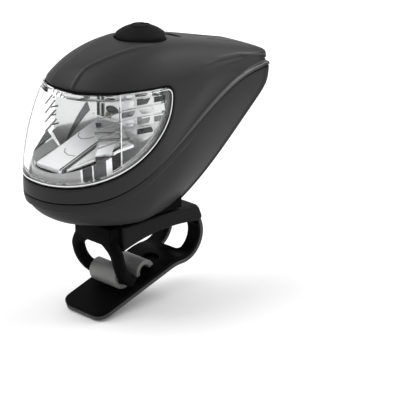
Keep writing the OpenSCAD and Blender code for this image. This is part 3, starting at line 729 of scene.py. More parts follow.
def upper_relief(p, step):
    """Step above the seam's lip, and the creases of the upper shell."""
    h = over_seam(p)
    low = (1 - ramp(h, 4, 9)) * (1 - ramp(p[:, 2] - brow_z(p[:, 1]), -3, 3))
    out = -step * lip_fade(p) * ramp(h, LIP_H, STEP_RUN) * low
    out += CREASE_H * crease_fade(p) * (1 - ramp(beside_crease(p), -0.5, 1.0))
    drop = below_shoulder(p)
    under = ramp(drop, 0, SHOULDER_RUN) * (1 - ramp(drop, SHOULDER_RUN, 6))
    return out - SHOULDER_DEPTH * under * shoulder_fade(p)


def lower_relief(p, step):
    """Step below the lip at the front of the lower shell."""
    depth = under_seam(p)
    front = 1 - ramp(p[:, 1], -12, 22)
    return -step * front * ramp(depth, LOWER_LIP_H, STEP_RUN) * (1 - ramp(depth, 5, 12))


def edge_polish(p):
    """Share of polish, highest on the crests of the upper shell: the seam's lip, the shoulder and the
    front crease."""
    def crest(distance, width):
        return np.exp(-((distance / width) ** 2))

    lip = crest(over_seam(p) - 1.5, 0.45) * lip_fade(p)
    shoulder = crest(below_shoulder(p) - 0.2, 0.4) * shoulder_fade(p)
    crease = crest(beside_crease(p) + 0.4, 0.4) * crease_fade(p)
    return np.maximum(lip, np.maximum(0.4 * shoulder, 0.3 * crease))


class HEADLIGHT_OT_shells(Operator):
    """Upper and lower shell with their seam lips, creases and openings"""

    bl_idname = "headlight.shells"
    bl_label = "Shells"

    def execute(self, context):
        sizes = context.scene.headlight_sizes
        wall, step = sizes.wall / MM, sizes.step / MM
        points, faces = upper_grid()
        for field, levels, keep, edge in (
                (over_seam, (0.3, 0.5, LIP_H, 1.6, 1.8, 2.0, 2.2), "above", SEAM_GAP),
                (below_shoulder, (-0.8, -0.3, 0.3, 0.8, SHOULDER_RUN), None, 0.0),
                (beside_crease, (-0.5, -0.2, 0.1, 0.5), None, 0.0),
                (off_lens, (GASKET_W + 0.1, GASKET_W + 0.3, GASKET_W + 0.6), "above", GASKET_W),
                (off_button, (0.1, 0.25, 0.5), "above", 0.0),
                (off_window, (0.1, 0.25), "above", 0.0),
                (off_slit, (0.08,), "above", 0.0),
                (off_flap, (0.1, 0.3), "above", 0.0)):
            points, faces = cuts(points, faces, field, levels, keep, edge)
        points, faces = tidy(points, faces)
        out = upper_relief(points, step)
        for field, edge, radius in ((over_seam, SEAM_GAP, SEAM_ROUND), (off_lens, GASKET_W, 0.6),
                                    (off_button, 0.0, 0.5), (off_window, 0.0, 0.25), (off_flap, 0.0, 0.3)):
            out -= fillet(field(points) - edge, radius)
        points = points + point_normals(points, faces) * out[:, None]
        polish = np.tile(edge_polish(points), 2)
        points, faces = thicken(points, faces, wall)
        points[:, 1] = np.minimum(points[:, 1], TAIL)
        skin = (np.c_[points, polish], faces)
        piece("upper_shell_skin", skin, "head", "shell_black", "upper_shell")

        points, faces = lower_grid()
        for field, levels, edge in ((under_seam, (0.3, 0.5, LOWER_LIP_H, 3.4, 3.6, 3.8, 4.0), SEAM_GAP),
                                    (off_shoe, (), 0.0), (off_screws, (0.2,), 0.0)):
            points, faces = cuts(points, faces, field, levels, "above", edge)
        points, faces = tidy(points, faces)
        out = lower_relief(points, step) - fillet(under_seam(points) - SEAM_GAP, SEAM_ROUND)
        points = points + point_normals(points, faces) * out[:, None]
        skin = thicken(points, faces, wall)
        piece("lower_shell_skin", skin, "head", "shell_black", "lower_shell", finish="lower_black")
        return {"FINISHED"}


def lens_band(grow, *edges):
    """Part of the upper form along the lens opening. An edge is a distance from the opening, the side that
    is kept and any rows beyond it."""
    part = upper_grid(grow)
    for edge, keep, rows in edges:
        part = cuts(*part, off_lens, rows, keep, edge)
    return part


class HEADLIGHT_OT_lens(Operator):
    """Clear wraparound lens, a white band on its edge that paints the edge's highlight, and the black gasket
    round it
    """

    bl_idname = "headlight.lens"
    bl_label = "Lens"

    def execute(self, context):
        points, faces = upper_grid(LENS_PROUD)
        points, faces = cuts(points, faces, off_lens, (-0.08, -0.25, -0.5), "below", -0.02)
        points, faces = tidy(points, faces)
        points = points - point_normals(points, faces) * fillet(-off_lens(points), 0.5)[:, None]
        skin = thicken(points, faces, context.scene.headlight_sizes.lens_wall / MM)
        lens = piece("clear_lens", skin, "head", "clear_lens", "lens")
        lens.visible_shadow = False

        # White band along the lens edge: a painted highlight of the lens's rounded edge.
        band = lens_band(BAND_PROUD, (-0.4, "below", ()), (-0.72, "above", ()))
        band = thicken(*tidy(*cut(*band, z_of, LENS_MID[1] - 1.9, "below")), 0.3)
        piece("lens_edge_band", band, "head", "clear_lens", finish="clear_edge")

        ring = lens_band(-GASKET_SUNK, (0.05, "above", (0.2, 0.6)), (GASKET_W - 0.05, "below", ()))
        ring = thicken(*tidy(*ring), 1.4)
        piece("lens_ring", ring, "head", "gasket_rubber", "lens_gasket")
        return {"FINISHED"}


# Reflector: a flared mirror wall and a faceted side wall on each side of the bright shelf

LED_Y, MIRROR_LOW, MIRROR_TOP, SKIN = -14.3, -44.5, -13.0, 0.9
HUB, FLARE_END = (6.4, LED_Y - 0.65), (22.0, LED_Y - 14.2)
SIDE_HUB, SIDE_END = (6.7, LED_Y - 1.3), (22.0, LED_Y + 8.2)
MIRROR_IN = 2.9
RIB_RISE, RIB_W, POST_HW = 5.0, 0.5, 0.18
FACET_GAP, FACET_BULGE, FACET_TILT = (0.5, 0.8), -0.03, 0.16
FACET_SEED = {1: 5, -1: 11}
# Range of the chance tones that paint reflections and shade on the facets
FACET_PAINTED_REFLECTION = (-0.1, 1.5)
# Outline of the dark leaf on the flare, a painted reflection of the shaded recess
LEAF_REFLECTION = [(3.7, -21.9), (2.6, -25.5), (4.3, -27.4), (9.9, -35.2), (12.8, -39.5), (9.9, -32.8), (7.4, -27.8)]
STROKE = [(0, 0), (4.2, -1.2), (4.2, -1.6), (0, -0.5)]
TOOTH = [(17.9, -25.2, 0), (17.4, -25.0, 0), (13.8, -32.4, -2.2), (14.2, -32.7, -2.2)]
TEETH = 5
SHELF_FRONT, SHELF_REAR, SHELF_HW, SHELF_T = (-43.0, -38.6), (-14.4, -27.84), 6.0, 1.6
SKIRT_REAR, POCKET_Z = -30.0, -40.4
# Tone of each mirror part, a painted reflection and shade, from dark below 0.3 to full bright above 0.75
PAINTED_REFLECTION = dict(hub=0.66, side=0.8, rib=1.0, post=0.95, flare=0.92, leaf=0.36, stroke=0.25, tooth=0.42,
            pocket=0.6, tray=1.0, rear_tray=0.95, oval=0.3, bar=1.0, hub_post=0.2, rim=1.0)
TRAY_IN = SHELF_HW + 0.25
SIDE_TRAY = [(TRAY_IN, -43.5), (20, -38), (22, -22), (17.5, -21.6), (16.8, -27.8), (TRAY_IN, -32.6)]
REAR_TRAY = [(TRAY_IN, -33), (17.2, -28.2), (18, -22), (HUB[0] + 0.3, HUB[1] - 0.1), (TRAY_IN, HUB[1] - 0.1)]
BRIGHT_PATCH = [(8.8, -27.2), (14.4, -24.4), (16.8, -29.0), (12.4, -32.4)]
# Plans and tones of the plates on the trays, the tones painting reflections and shade
SHELF_PLATES = (
    ([(-19.7, -27.9), (-18.2, -35.5), (-13.4, -39.5), (-13.9, -30.4)], 0.32),
    ([(-12.2, -31.2), (-12.6, -40.0), (-6.4, -43.3), (-6.4, -33.4)], 0.38),
    ([(6.2, -25.6), (6.2, -43.3), (8.4, -43.0), (8.4, -29.0)], 0.32),
    ([(7.0, -26.6), (7.0, -43.2), (7.4, -43.2), (7.4, -27.2)], 0.6),
    ([(13.1, -33.0), (20.0, -29.6), (21.0, -31.2), (15.0, -34.4)], 0.32),
    ([(-3.4, -18.6), (-1.3, -17.7), (0.6, -19.3), (-1.0, -20.2)], 0.34),
    ([(1.3, -22.8), (9.5, -19.4), (9.6, -19.9), (1.5, -23.4)], 0.4),
    ([(6.4, -25.0), (16.5, -20.2), (16.7, -20.8), (6.5, -25.7)], 0.4),
)
# Reach from front to rear and tone, a painted reflection and shade, of the panels below the shelf
SKIRT_PANELS = (((-60, -39.6), 0.46), ((-39.6, -39.1), 1.0), ((-39.1, -36.4), 0.3), ((-36.4, -36.0), 1.0),
                ((-36.0, -32.0), 0.32), ((-32.0, SKIRT_REAR + 0.5), 0.9))
SHELF_GROOVE = [(-15.5, -0.5), (-42.4, -0.5), (-42.4, -1.15), (-15.5, -1.15)]
SHELF_LINES = (((-5.2, -24.6), (-4.0, -26.2), (-1.4, -26.9), (1.6, -25.4), (2.2, -24.2)),
               ((-2.6, -33.2), (-1.4, -34.8), (1.6, -35.6), (4.8, -35.1)))


def shelf_z(y):
    k = (SHELF_REAR[1] - SHELF_FRONT[1]) / (SHELF_REAR[0] - SHELF_FRONT[0])
    return SHELF_FRONT[1] + k * (y - SHELF_FRONT[0])


def off_form(p):
    """Rough distance outside the belly form drawn in as far as the mirror."""
    y, z = p[:, 1], p[:, 2]
    f = np.clip((z - seam_z(y)) / (brow_z(y) - seam_z(y)), 0, 1)
    yf, yw, hw, hr = belly_plan(f)
    yf, hw, hr = yf + MIRROR_IN, hw - MIRROR_IN, hr - MIRROR_IN
    ahead = np.clip((yw - y) / (yw - yf), 0, None)
    front = ((np.abs(p[:, 0]) / hw) ** PLAN_POWER + ahead**PLAN_POWER) ** (1 / PLAN_POWER) * hw - hw
    t = np.clip((y - yw) / (46 - yw), 0, 1)
    return np.where(y < yw, front, np.abs(p[:, 0]) - (hw - (hw - hr) * t**SIDE_POWER))


class Wall:
    """Upright mirror wall seen from above as a line, with places on its front face."""

    def __init__(self, start, end, sign):
        self.start, end = np.array(start, float), np.array(end, float)
        self.length = np.linalg.norm(end - self.start)
        self.along = (end - self.start) / self.length
        self.out = np.array([self.along[1], -self.along[0]])
        self.sign = sign

    def at(self, u, z, out=0.0):
        u, z, out = np.broadcast_arrays(np.asarray(u, float), z, out)
        p = self.start + u[..., None] * self.along + (SKIN / 2 + out)[..., None] * self.out
        return np.stack([self.sign * p[..., 0], p[..., 1], z], -1)

    def slab(self, corners, out0, out1):
        """Flat panel with (u, z) corners between two heights over the face."""
        u, z = np.array(corners, float).T
        return prism(self.at(u, z, out1), self.at(u, z, out0))

    def strip(self, u0, u1, out0, out1):
        """Panel from the foot of the wall to its top."""
        corners = [(u0, MIRROR_LOW), (u1, MIRROR_LOW), (u1, MIRROR_TOP), (u0, MIRROR_TOP)]
        return self.slab(corners, out0, out1)


def tray(sign, plan, lift=0.0, thick=1.0):
    """Level-edged plate in the slope of the shelf."""
    plan = np.array(plan)
    top = np.c_[sign * plan[:, 0], plan[:, 1], shelf_z(plan[:, 1]) + lift]
    return prism(top, top - np.array([0, 0, thick]))


def with_painted_reflection(part, tone):
    """Adds the tone of a mirror part, which paints its reflections and shade, as a fourth value of each
    point.
    """
    points, faces = part
    return np.c_[points, np.full(len(points), float(tone))], faces


def plate_rows_tree(name, finish):
    """Geometry Nodes: rows of slightly bulged plates, each tilted by chance and given a chance tone that
    paints reflections and shade.
    """
    tree = bpy.data.node_groups.new(name, "GeometryNodeTree")
    face = tree.interface
    for label in ("Columns", "Rows", "Width", "Height", "Plate Width", "Plate Height", "Bulge", "Tilt",
                  "Seed"):
        kind = "NodeSocketInt" if label in ("Columns", "Rows", "Seed") else "NodeSocketFloat"
        face.new_socket(label, in_out="INPUT", socket_type=kind)
    face.new_socket("Geometry", in_out="OUTPUT", socket_type="NodeSocketGeometry")

    def node(kind, **values):
        made = tree.nodes.new(kind)
        for key, value in values.items():
            setattr(made, key, value)
        return made

    link = tree.links.new
    given, result = node("NodeGroupInput"), node("NodeGroupOutput")
    rows, plate = node("GeometryNodeMeshGrid"), node("GeometryNodeMeshGrid")
    for source, grid, target in (("Width", rows, "Size X"), ("Height", rows, "Size Y"),
                                 ("Columns", rows, "Vertices X"), ("Rows", rows, "Vertices Y"),
                                 ("Plate Width", plate, "Size X"), ("Plate Height", plate, "Size Y")):
        link(given.outputs[source], grid.inputs[target])
    plate.inputs["Vertices X"].default_value = plate.inputs["Vertices Y"].default_value = 7
    where, square = node("GeometryNodeInputPosition"), node("ShaderNodeVectorMath", operation="DOT_PRODUCT")
    drop, lift = node("ShaderNodeMath", operation="MULTIPLY"), node("ShaderNodeCombineXYZ")
    bulged = node("GeometryNodeSetPosition")
    link(where.outputs[0], square.inputs[0])
    link(where.outputs[0], square.inputs[1])
    link(square.outputs["Value"], drop.inputs[0])
    link(given.outputs["Bulge"], drop.inputs[1])
    link(drop.outputs[0], lift.inputs["Z"])
    link(plate.outputs["Mesh"], bulged.inputs["Geometry"])
    link(lift.outputs[0], bulged.inputs["Offset"])
    turn = node("FunctionNodeRandomValue", data_type="FLOAT_VECTOR")
    span, flip = node("ShaderNodeCombineXYZ"), node("ShaderNodeVectorMath", operation="SCALE")
    link(given.outputs["Tilt"], span.inputs["X"])
    link(given.outputs["Tilt"], span.inputs["Y"])
    link(span.outputs[0], flip.inputs[0])
    flip.inputs["Scale"].default_value = -1
    link(flip.outputs[0], turn.inputs["Min"])
    link(span.outputs[0], turn.inputs["Max"])
    link(given.outputs["Seed"], turn.inputs["Seed"])
    spread = node("GeometryNodeInstanceOnPoints")
    link(rows.outputs["Mesh"], spread.inputs["Points"])
    link(bulged.outputs["Geometry"], spread.inputs["Instance"])
    link(turn.outputs["Value"], spread.inputs["Rotation"])
    chance = node("FunctionNodeRandomValue", data_type="FLOAT")
    link(given.outputs["Seed"], chance.inputs["Seed"])
    chance.inputs[2].default_value, chance.inputs[3].default_value = FACET_PAINTED_REFLECTION
    store = node("GeometryNodeStoreNamedAttribute", data_type="FLOAT", domain="INSTANCE")
    store.inputs["Name"].default_value = "tone"
    link(spread.outputs["Instances"], store.inputs["Geometry"])
    link([o for o in chance.outputs if o.enabled][0], store.inputs["Value"])
    real, coat = node("GeometryNodeRealizeInstances"), node("GeometryNodeSetMaterial")
    coat.inputs["Material"].default_value = finish
    link(store.outputs["Geometry"], real.inputs["Geometry"])
    link(real.outputs["Geometry"], coat.inputs["Geometry"])
    link(coat.outputs["Geometry"], result.inputs["Geometry"])
    return tree


def plate_rows(tree, **values):
    """Runs the tree once and returns its plates as plain points with their tone, and faces."""
    holder = bpy.data.objects.new("plates", bpy.data.meshes.new("plates"))
    bpy.context.scene.collection.objects.link(holder)
    nodes = holder.modifiers.new("plates", "NODES")
    nodes.node_group = tree
    for item in tree.interface.items_tree:
        if item.in_out == "INPUT":
            nodes[item.identifier] = values[item.name.lower().replace(" ", "_")]
    ready = holder.evaluated_get(bpy.context.evaluated_depsgraph_get())
    mesh = bpy.data.meshes.new_from_object(ready)
    points = np.array([v.co[:] for v in mesh.vertices])
    tone = np.array([d.value for d in mesh.attributes["tone"].data])
    faces = [list(p.vertices) for p in mesh.polygons]
    holder.modifiers.remove(nodes)
    bpy.data.objects.remove(holder)
    bpy.data.meshes.remove(mesh)
    return points, tone, faces


def side_wall(sign, tree, rows, columns):
    """Side wall with its facets, rising ribs and posts."""
    side = Wall(SIDE_HUB, SIDE_END, sign)
    length, wide = side.length, side.length / columns
    pitch = (MIRROR_TOP - MIRROR_LOW) / rows
    parts = [with_painted_reflection(side.strip(0, length, -SKIN, 0), PAINTED_REFLECTION["side"])]
    points, tone, faces = plate_rows(
        tree, columns=columns, rows=rows + 2, width=length - wide, height=pitch * (rows + 1),
        plate_width=wide - FACET_GAP[0], plate_height=pitch - FACET_GAP[1], bulge=FACET_BULGE,
        tilt=FACET_TILT, seed=FACET_SEED[sign])
    u = points[:, 0] + length / 2
    z = points[:, 1] + (MIRROR_LOW + MIRROR_TOP) / 2 + RIB_RISE * (u / length - 0.5)
    points, faces = thicken(side.at(u, z, 0.35 + points[:, 2]), faces, 0.3)
    # Each facet's chance tone paints a reflection and shade into the mirror colour.
    parts.append((np.c_[points, np.tile(tone, 2)], faces))
    for i in range(-1, rows + 1):
        z0 = MIRROR_LOW + i * pitch
        rib = [(0, z0), (length, z0 + RIB_RISE), (length, z0 + RIB_RISE + RIB_W), (0, z0 + RIB_W)]
        parts.append(with_painted_reflection(side.slab(rib, 0, 0.5), PAINTED_REFLECTION["rib"]))
    for k in range(1, columns + 1):
        post = side.strip(k * wide - POST_HW, k * wide + POST_HW, 0, 0.42)
        parts.append(with_painted_reflection(post, PAINTED_REFLECTION["post"]))
    return parts


def flare_wall(sign):
    """Flared wall with its leaf and strokes, dark painted reflections on it, and the teeth in front of it.
    """
    flare = Wall(HUB, FLARE_END, sign)
    parts = [with_painted_reflection(flare.strip(0, flare.length, -0.4, 0), PAINTED_REFLECTION["flare"]),
             with_painted_reflection(flare.slab(LEAF_REFLECTION, 0, 0.25), PAINTED_REFLECTION["leaf"])]
    for i in range(TEETH):
        u0, z0 = 14.2 + 0.9 * (i % 2), -17.5 - 3.2 * i
        stroke = [(u0 + u, z0 + z) for u, z in STROKE]
        parts.append(with_painted_reflection(flare.slab(stroke, 0, 0.3), PAINTED_REFLECTION["stroke"]))
        tooth = np.array(TOOTH) * np.array([sign, 1, 1]) + np.array([0, 0, -15.4 - 3.4 * i])
        parts.append(with_painted_reflection(prism(tooth, tooth - np.array([0, 0, 0.35])), PAINTED_REFLECTION["tooth"]))
    return parts


def hub_marks():
    """Oval, bar and two posts on the wall behind the shelf, with painted reflections: the oval and the posts
    dark, the bar bright.
    """
    c, s = circle(28)
    oval = np.c_[2.2 + 3.2 * c, np.full(28, HUB[1] - 0.7), -23.6 + 1.5 * s]
    bar = box_part((-5.8, HUB[1] - 0.9, -27.6), (HUB[0], HUB[1] - 0.3, -26.9))
    posts = [box_part((x - 0.4, HUB[1] - 0.9, -26.9), (x + 0.4, HUB[1] - 0.4, -22.2)) for x in (-5.3, -2.9)]
    oval = prism(oval, oval + np.array([0, 0.5, 0]))
    marks = [with_painted_reflection(oval, PAINTED_REFLECTION["oval"]), with_painted_reflection(bar, PAINTED_REFLECTION["bar"])]
    return marks + [with_painted_reflection(post, PAINTED_REFLECTION["hub_post"]) for post in posts]


def skirt_and_rim():
    """Panels in the form of the belly below the shelf, and the rim along the lens, with tones that paint
    reflections and shade; the rim is painted bright.
    """
    form = upper_grid(-MIRROR_IN)
    skirt = cut(*form, lambda p: shelf_z(p[:, 1]) - 0.5 - p[:, 2], 0.0, "above")
    skirt = cut(*skirt, z_of, MIRROR_LOW, "above")
    skirt = cut(*skirt, y_of, SKIRT_REAR, "below")
    parts = []
    for (first, last), tone in SKIRT_PANELS:
        panel = cut(*cut(*skirt, y_of, first, "above"), y_of, last, "below")
        parts.append(with_painted_reflection(thicken(*tidy(*panel), SKIN), tone))
    rim = cut(*cut(*form, off_lens, 1.6, "below"), off_lens, -0.9, "above")
    return parts + [with_painted_reflection(thicken(*tidy(*rim), SKIN), PAINTED_REFLECTION["rim"])]


class HEADLIGHT_OT_reflector(Operator):
    """Mirror walls with their facets, teeth and trays behind the lens"""

    bl_idname = "headlight.reflector"
    bl_label = "Reflector"

    def execute(self, context):
        sizes = context.scene.headlight_sizes
        tree = plate_rows_tree("mirror_plates", finish_of("mirror_coat"))
        hub = box_part((-HUB[0] - 0.4, HUB[1] - SKIN / 2, MIRROR_LOW),
                       (HUB[0] + 0.4, HUB[1] + SKIN / 2, MIRROR_TOP))
        parts = [with_painted_reflection(hub, PAINTED_REFLECTION["hub"])]
        for sign in (1, -1):
            parts += side_wall(sign, tree, sizes.facet_rows, sizes.facet_columns)
            parts += flare_wall(sign)
            plan = np.array([SIDE_HUB, SIDE_END, FLARE_END]) * np.array([sign, 1])
            pocket = [np.c_[plan, np.full(3, z)] for z in (POCKET_Z, POCKET_Z - SKIN)]
            parts.append(with_painted_reflection(prism(*pocket), PAINTED_REFLECTION["pocket"]))
            parts.append(with_painted_reflection(tray(sign, SIDE_TRAY), PAINTED_REFLECTION["tray"]))
        parts.append(with_painted_reflection(tray(1, REAR_TRAY), PAINTED_REFLECTION["rear_tray"]))
        for k, (plan, tone) in enumerate(SHELF_PLATES):
            parts.append(with_painted_reflection(tray(1, plan, 0.3 + 0.05 * k, 1.2), tone))
        walls = cut(*join(*parts, *hub_marks()), off_form, 0.0, "below")
        mirror = join(walls, *skirt_and_rim())
        piece("mirror_facets", mirror, "head", "mirror_coat", "reflector", sharp=30, cap=True)
        return {"FINISHED"}


class HEADLIGHT_OT_shelf(Operator):
    """Bright sloping shelf with its marks, and the patch beside it, painted white so that it reads lit"""

    bl_idname = "headlight.shelf"
    bl_label = "Light Shelf"

    def execute(self, context):
        outline = [SHELF_REAR, SHELF_FRONT, (SHELF_FRONT[0], SHELF_FRONT[1] - SHELF_T),
                   (SHELF_REAR[0], SHELF_REAR[1] - SHELF_T)]
        shelf = slab_part(outline, -SHELF_HW, SHELF_HW)
        piece("light_shelf", shelf, "head", "bright_aluminium", "led_shelf", bevel=0.2)
        # The patch wears the white painted-light finish, so it reads lit where the aluminium round it lies
        # in shade.
        patch = tray(1, BRIGHT_PATCH, 0.5, 1.2)
        piece("tray_patch", patch, "head", "bright_aluminium", finish="clear_edge", bevel=0.2)
        groove = [(y, shelf_z(y) + dz) for y, dz in SHELF_GROOVE]
        marks = [slab_part(groove, *sorted((sign * 5.9, sign * 6.06))) for sign in (1, -1)]
        for line in SHELF_LINES:
            marks.append(pillow(lambda p: 0.16 - near_line(p, line), (-6, -37), (6, -23), 0.2,
                                lambda p, h: np.c_[p, shelf_z(p[:, 1]) + h], 0.06, 0.05))
        piece("shelf_marks", join(*marks), "head", "inner_plastic")
        return {"FINISHED"}


class HEADLIGHT_OT_button(Operator):
    """Domed power button with its raised sign"""

    bl_idname = "headlight.button"
    bl_label = "Power Button"

    def execute(self, context):
        r, top, round_r = 9.0, BUTTON_H - 0.25, 0.5
        flange_r, flange_low, flange_top, round_z = r + 1.2, -4.4, -3.4, 0.7
        crown = top - 1.2
        dome = (r * r + crown * crown) / (2 * crown)
        arc = math.asin(r / dome)
        profile = [(0, flange_low), (flange_r, flange_low), (flange_r, flange_top), (r, flange_top),
                   (r, 0.2), (r, round_z)]
        profile += [(r - round_r * (1 - math.cos(a)), round_z + round_r * math.sin(a))
                    for a in np.linspace(0.2, 0.9, 5)]
        profile += [(dome * math.sin(a), top - dome + dome * math.cos(a))
                    for a in np.linspace(arc * 0.955, 0, 22)]
        piece("power_button_cap", lathe(profile), "button", "button_rubber", "power_button")

        ring_r, line_hw = 3.0, 0.42

        def sign_depth(p):
            ring = line_hw - np.abs(np.hypot(p[:, 0], p[:, 1]) - ring_r)
            gap = in_round_box(p, (0, 3.2), (1.25, 1.8), 0.2)
            bar = in_round_box(p, (0, 2.6), (line_hw, 1.9), line_hw)
            return np.maximum(np.minimum(ring, -gap), bar)

        def on_dome(p, h):
            flat = np.hypot(p[:, 0], p[:, 1])
            return np.c_[p, top - dome + np.sqrt(dome**2 - flat**2) + h - 0.06]

        sign = pillow(sign_depth, (-3.8, -3.8), (3.8, 4.8), 0.14, on_dome, 0.3, 0.2)
        piece("power_sign", sign, "button", "button_rubber")
        return {"FINISHED"}


class HEADLIGHT_OT_top_lights(Operator):
    """Dark sensor window and the two lit battery slits"""

    bl_idname = "headlight.top_lights"
    bl_label = "Window and Slits"

    def execute(self, context):
        gap = 0.06
        pane_half = (WINDOW["w"] / 2 - gap, WINDOW["l"] / 2 - gap)
        slit_half = (SLIT["w"] / 2 - gap, SLIT["l"] / 2 - gap)
        splay = math.radians(SLIT["splay"])

        def in_window(p):
            return in_round_box(p, (0, WINDOW["y"]), pane_half, pane_half[1])

        def on_crown(p, h):
            return np.c_[p, crown_z(p[:, 1]) - 1.1 + h]

        def in_slit(p):
            return in_round_box(p, (0, SLIT["l"] / 2), slit_half, slit_half[0])

        def on_slit(sign):
            def warp(p, h):
                x = SLIT["x"] + p[:, 0] * math.cos(splay) + p[:, 1] * math.sin(splay)
                y = SLIT["y"] + p[:, 1] * math.cos(splay) - p[:, 0] * math.sin(splay)
                return np.c_[sign * x, y, crown_z(y) - 0.75 + h]
            return warp

        pane = pillow(in_window, (-4, 12.6), (4, 18.2), 0.4, on_crown, 0.65, 0.3)
        piece("sensor_pane", pane, "head", "dark_window", "sensor_window")
        slits = [pillow(in_slit, (-0.5, 0), (0.5, SLIT["l"]), 0.25, on_slit(sign), 0.5, 0.2)
                 for sign in (1, -1)]
        piece("battery_slits", join(*slits), "head", "blue_light_pipe", "light_pipes")
        return {"FINISHED"}


class HEADLIGHT_OT_flap(Operator):
    """Rubber flap over the charging port"""

    bl_idname = "headlight.flap"
    bl_label = "Charging Flap"

    def execute(self, context):
        low, high, half_t = FLAP["low"], FLAP["low"] + FLAP["h"], FLAP["t"] / 2

        def in_flap(p):
            return in_round_box(p, (0, low + FLAP["h"] / 2), (FLAP["w"] / 2, FLAP["h"] / 2), 1.1)

        def upright(p, h):
            return np.c_[p[:, 0], FLAP["y"] + half_t + h, p[:, 1]]

        cover = pillow(in_flap, (-8, low), (8, high), 0.4, upright, half_t, 0.35)
        plug = box_part((-3.7, FLAP["y"] - 1.2, -15.2), (3.7, FLAP["y"] + 0.2, -13.6))
        piece("charging_flap", join(cover, plug), "usb_cover", "flap_rubber", "usb_flap")
        return {"FINISHED"}


# Bracket and strap

ARM_TOP, ARM_T, ARM_HW, ARM_FRONT, ARM_REAR = -64.4, 5.6, 11.5, -19, 17.1
ARCH_R, ARCH_MID = 75, 5
RAIL = dict(front=-18, rear=10, neck_hw=4.5, head_hw=7, neck_top=2.3, head_low=2.2, head_top=4.6)
BAR, BAR_R = (-15.4, -85.6), 2.3
LEG_Y, LEG_W, YOKE_HW, YOKE_CORNER = -21.6, 4.8, 9.8, 3
SLOPE = math.radians(18.5)
RUN = (BAR[0] + 5.9 * math.sin(SLOPE), BAR[1] - 5.9 * math.cos(SLOPE))
LOOP, LOOP_R = (10.0, -75.2), 9.1
RUN_REAR, RUN_FRONT = 18.35, -17.4
STRAP_HW, EYE_HW, TIP_CORNER = 11.0, 8.8, 4.5
# Where the strap widens, and its slot: degrees round the loop from the strap's start
WIDEN_AT, WIDEN_RUN = 18, 8
SLOT = dict(at=66, half=50, hw=5.4, corner=1.8)
DIMPLE = dict(x=1.5, hw=3.6, hl=2.2, before=18.0)
# Middle and half thickness of the two raised lines on the strap's edge
EDGE_BEADS = ((0.42, 0.38), (1.14, 0.36))
EYE, EYE_R = (15, -67.4), 3


def hermite(p, q, dp, dq, t):
    """Curve from p to q that starts along dp and ends along dq."""
    p, q, dp, dq = (np.array(v, float) for v in (p, q, dp, dq))
    t = np.asarray(t, float)[:, None]
    return (p * (1 - 3 * t**2 + 2 * t**3) + q * (3 * t**2 - 2 * t**3)
            + dp * (t - 2 * t**2 + t**3) + dq * (t**3 - t**2))


class Path:
    """Line in Y and Z that flat shapes are bent along."""

    def __init__(self, points):
        self.points = np.asarray(points, float)
        step = np.linalg.norm(np.diff(self.points, axis=0), axis=1)
        self.along = np.concatenate([[0], np.cumsum(step)])
        self.length = self.along[-1]
        turn = np.gradient(self.points, self.along, axis=0)
        turn /= np.linalg.norm(turn, axis=1)[:, None]
        self.side = np.c_[-turn[:, 1], turn[:, 0]]

    def bend(self, p, h):
        """p holds (x, distance along the line); h is the height over it."""
        y, z = (np.interp(p[:, 1], self.along, self.points[:, k]) for k in (0, 1))
        ny, nz = (np.interp(p[:, 1], self.along, self.side[:, k]) for k in (0, 1))
        return np.c_[p[:, 0], y + ny * h, z + nz * h]


def run_point(l):
    """Place on the strap's straight run, l behind the crossbar."""
    return np.array([RUN[0] + l * math.cos(SLOPE), RUN[1] + l * math.sin(SLOPE)])


def strap_path():
    a = np.radians(np.linspace(50, -90, 90))
    loop = np.c_[LOOP[0] + LOOP_R * np.cos(a), LOOP[1] + LOOP_R * np.sin(a)]
    low, end = loop[-1], run_point(RUN_REAR)
    reach = np.linalg.norm(low - end)
    slope = (-reach * math.cos(SLOPE), -reach * math.sin(SLOPE))
    bend = hermite(low, end, (-reach, 0), slope, np.linspace(0, 1, 30)[1:])
    straight = np.array([run_point(l) for l in np.linspace(RUN_REAR, RUN_FRONT, 60)[1:]])
    return Path(np.vstack([loop, bend, straight]))


def corner_depth(q, radius):
    """Depth inside a corner of that radius, from the distances to its two sides."""
    return radius - np.linalg.norm(np.maximum(q, 0), axis=1) - np.minimum(q.max(axis=1), 0)


def yoke_path():
    """Middle line of the legs, down to the far edge of the crossbar, and the distance to its middle."""
    top = np.array([[LEG_Y, ARM_TOP], [LEG_Y, ARM_TOP - 2.5]])
    legs = hermite((LEG_Y, ARM_TOP - 5), BAR, (-2.0, -16), (15, -9), np.linspace(0, 1, 40))
    way = legs[-1] - legs[-2]
    edge = legs[-1] + way / np.linalg.norm(way) * LEG_W / 2
    return Path(np.vstack([top, legs, [edge]])), Path(np.vstack([top, legs])).length


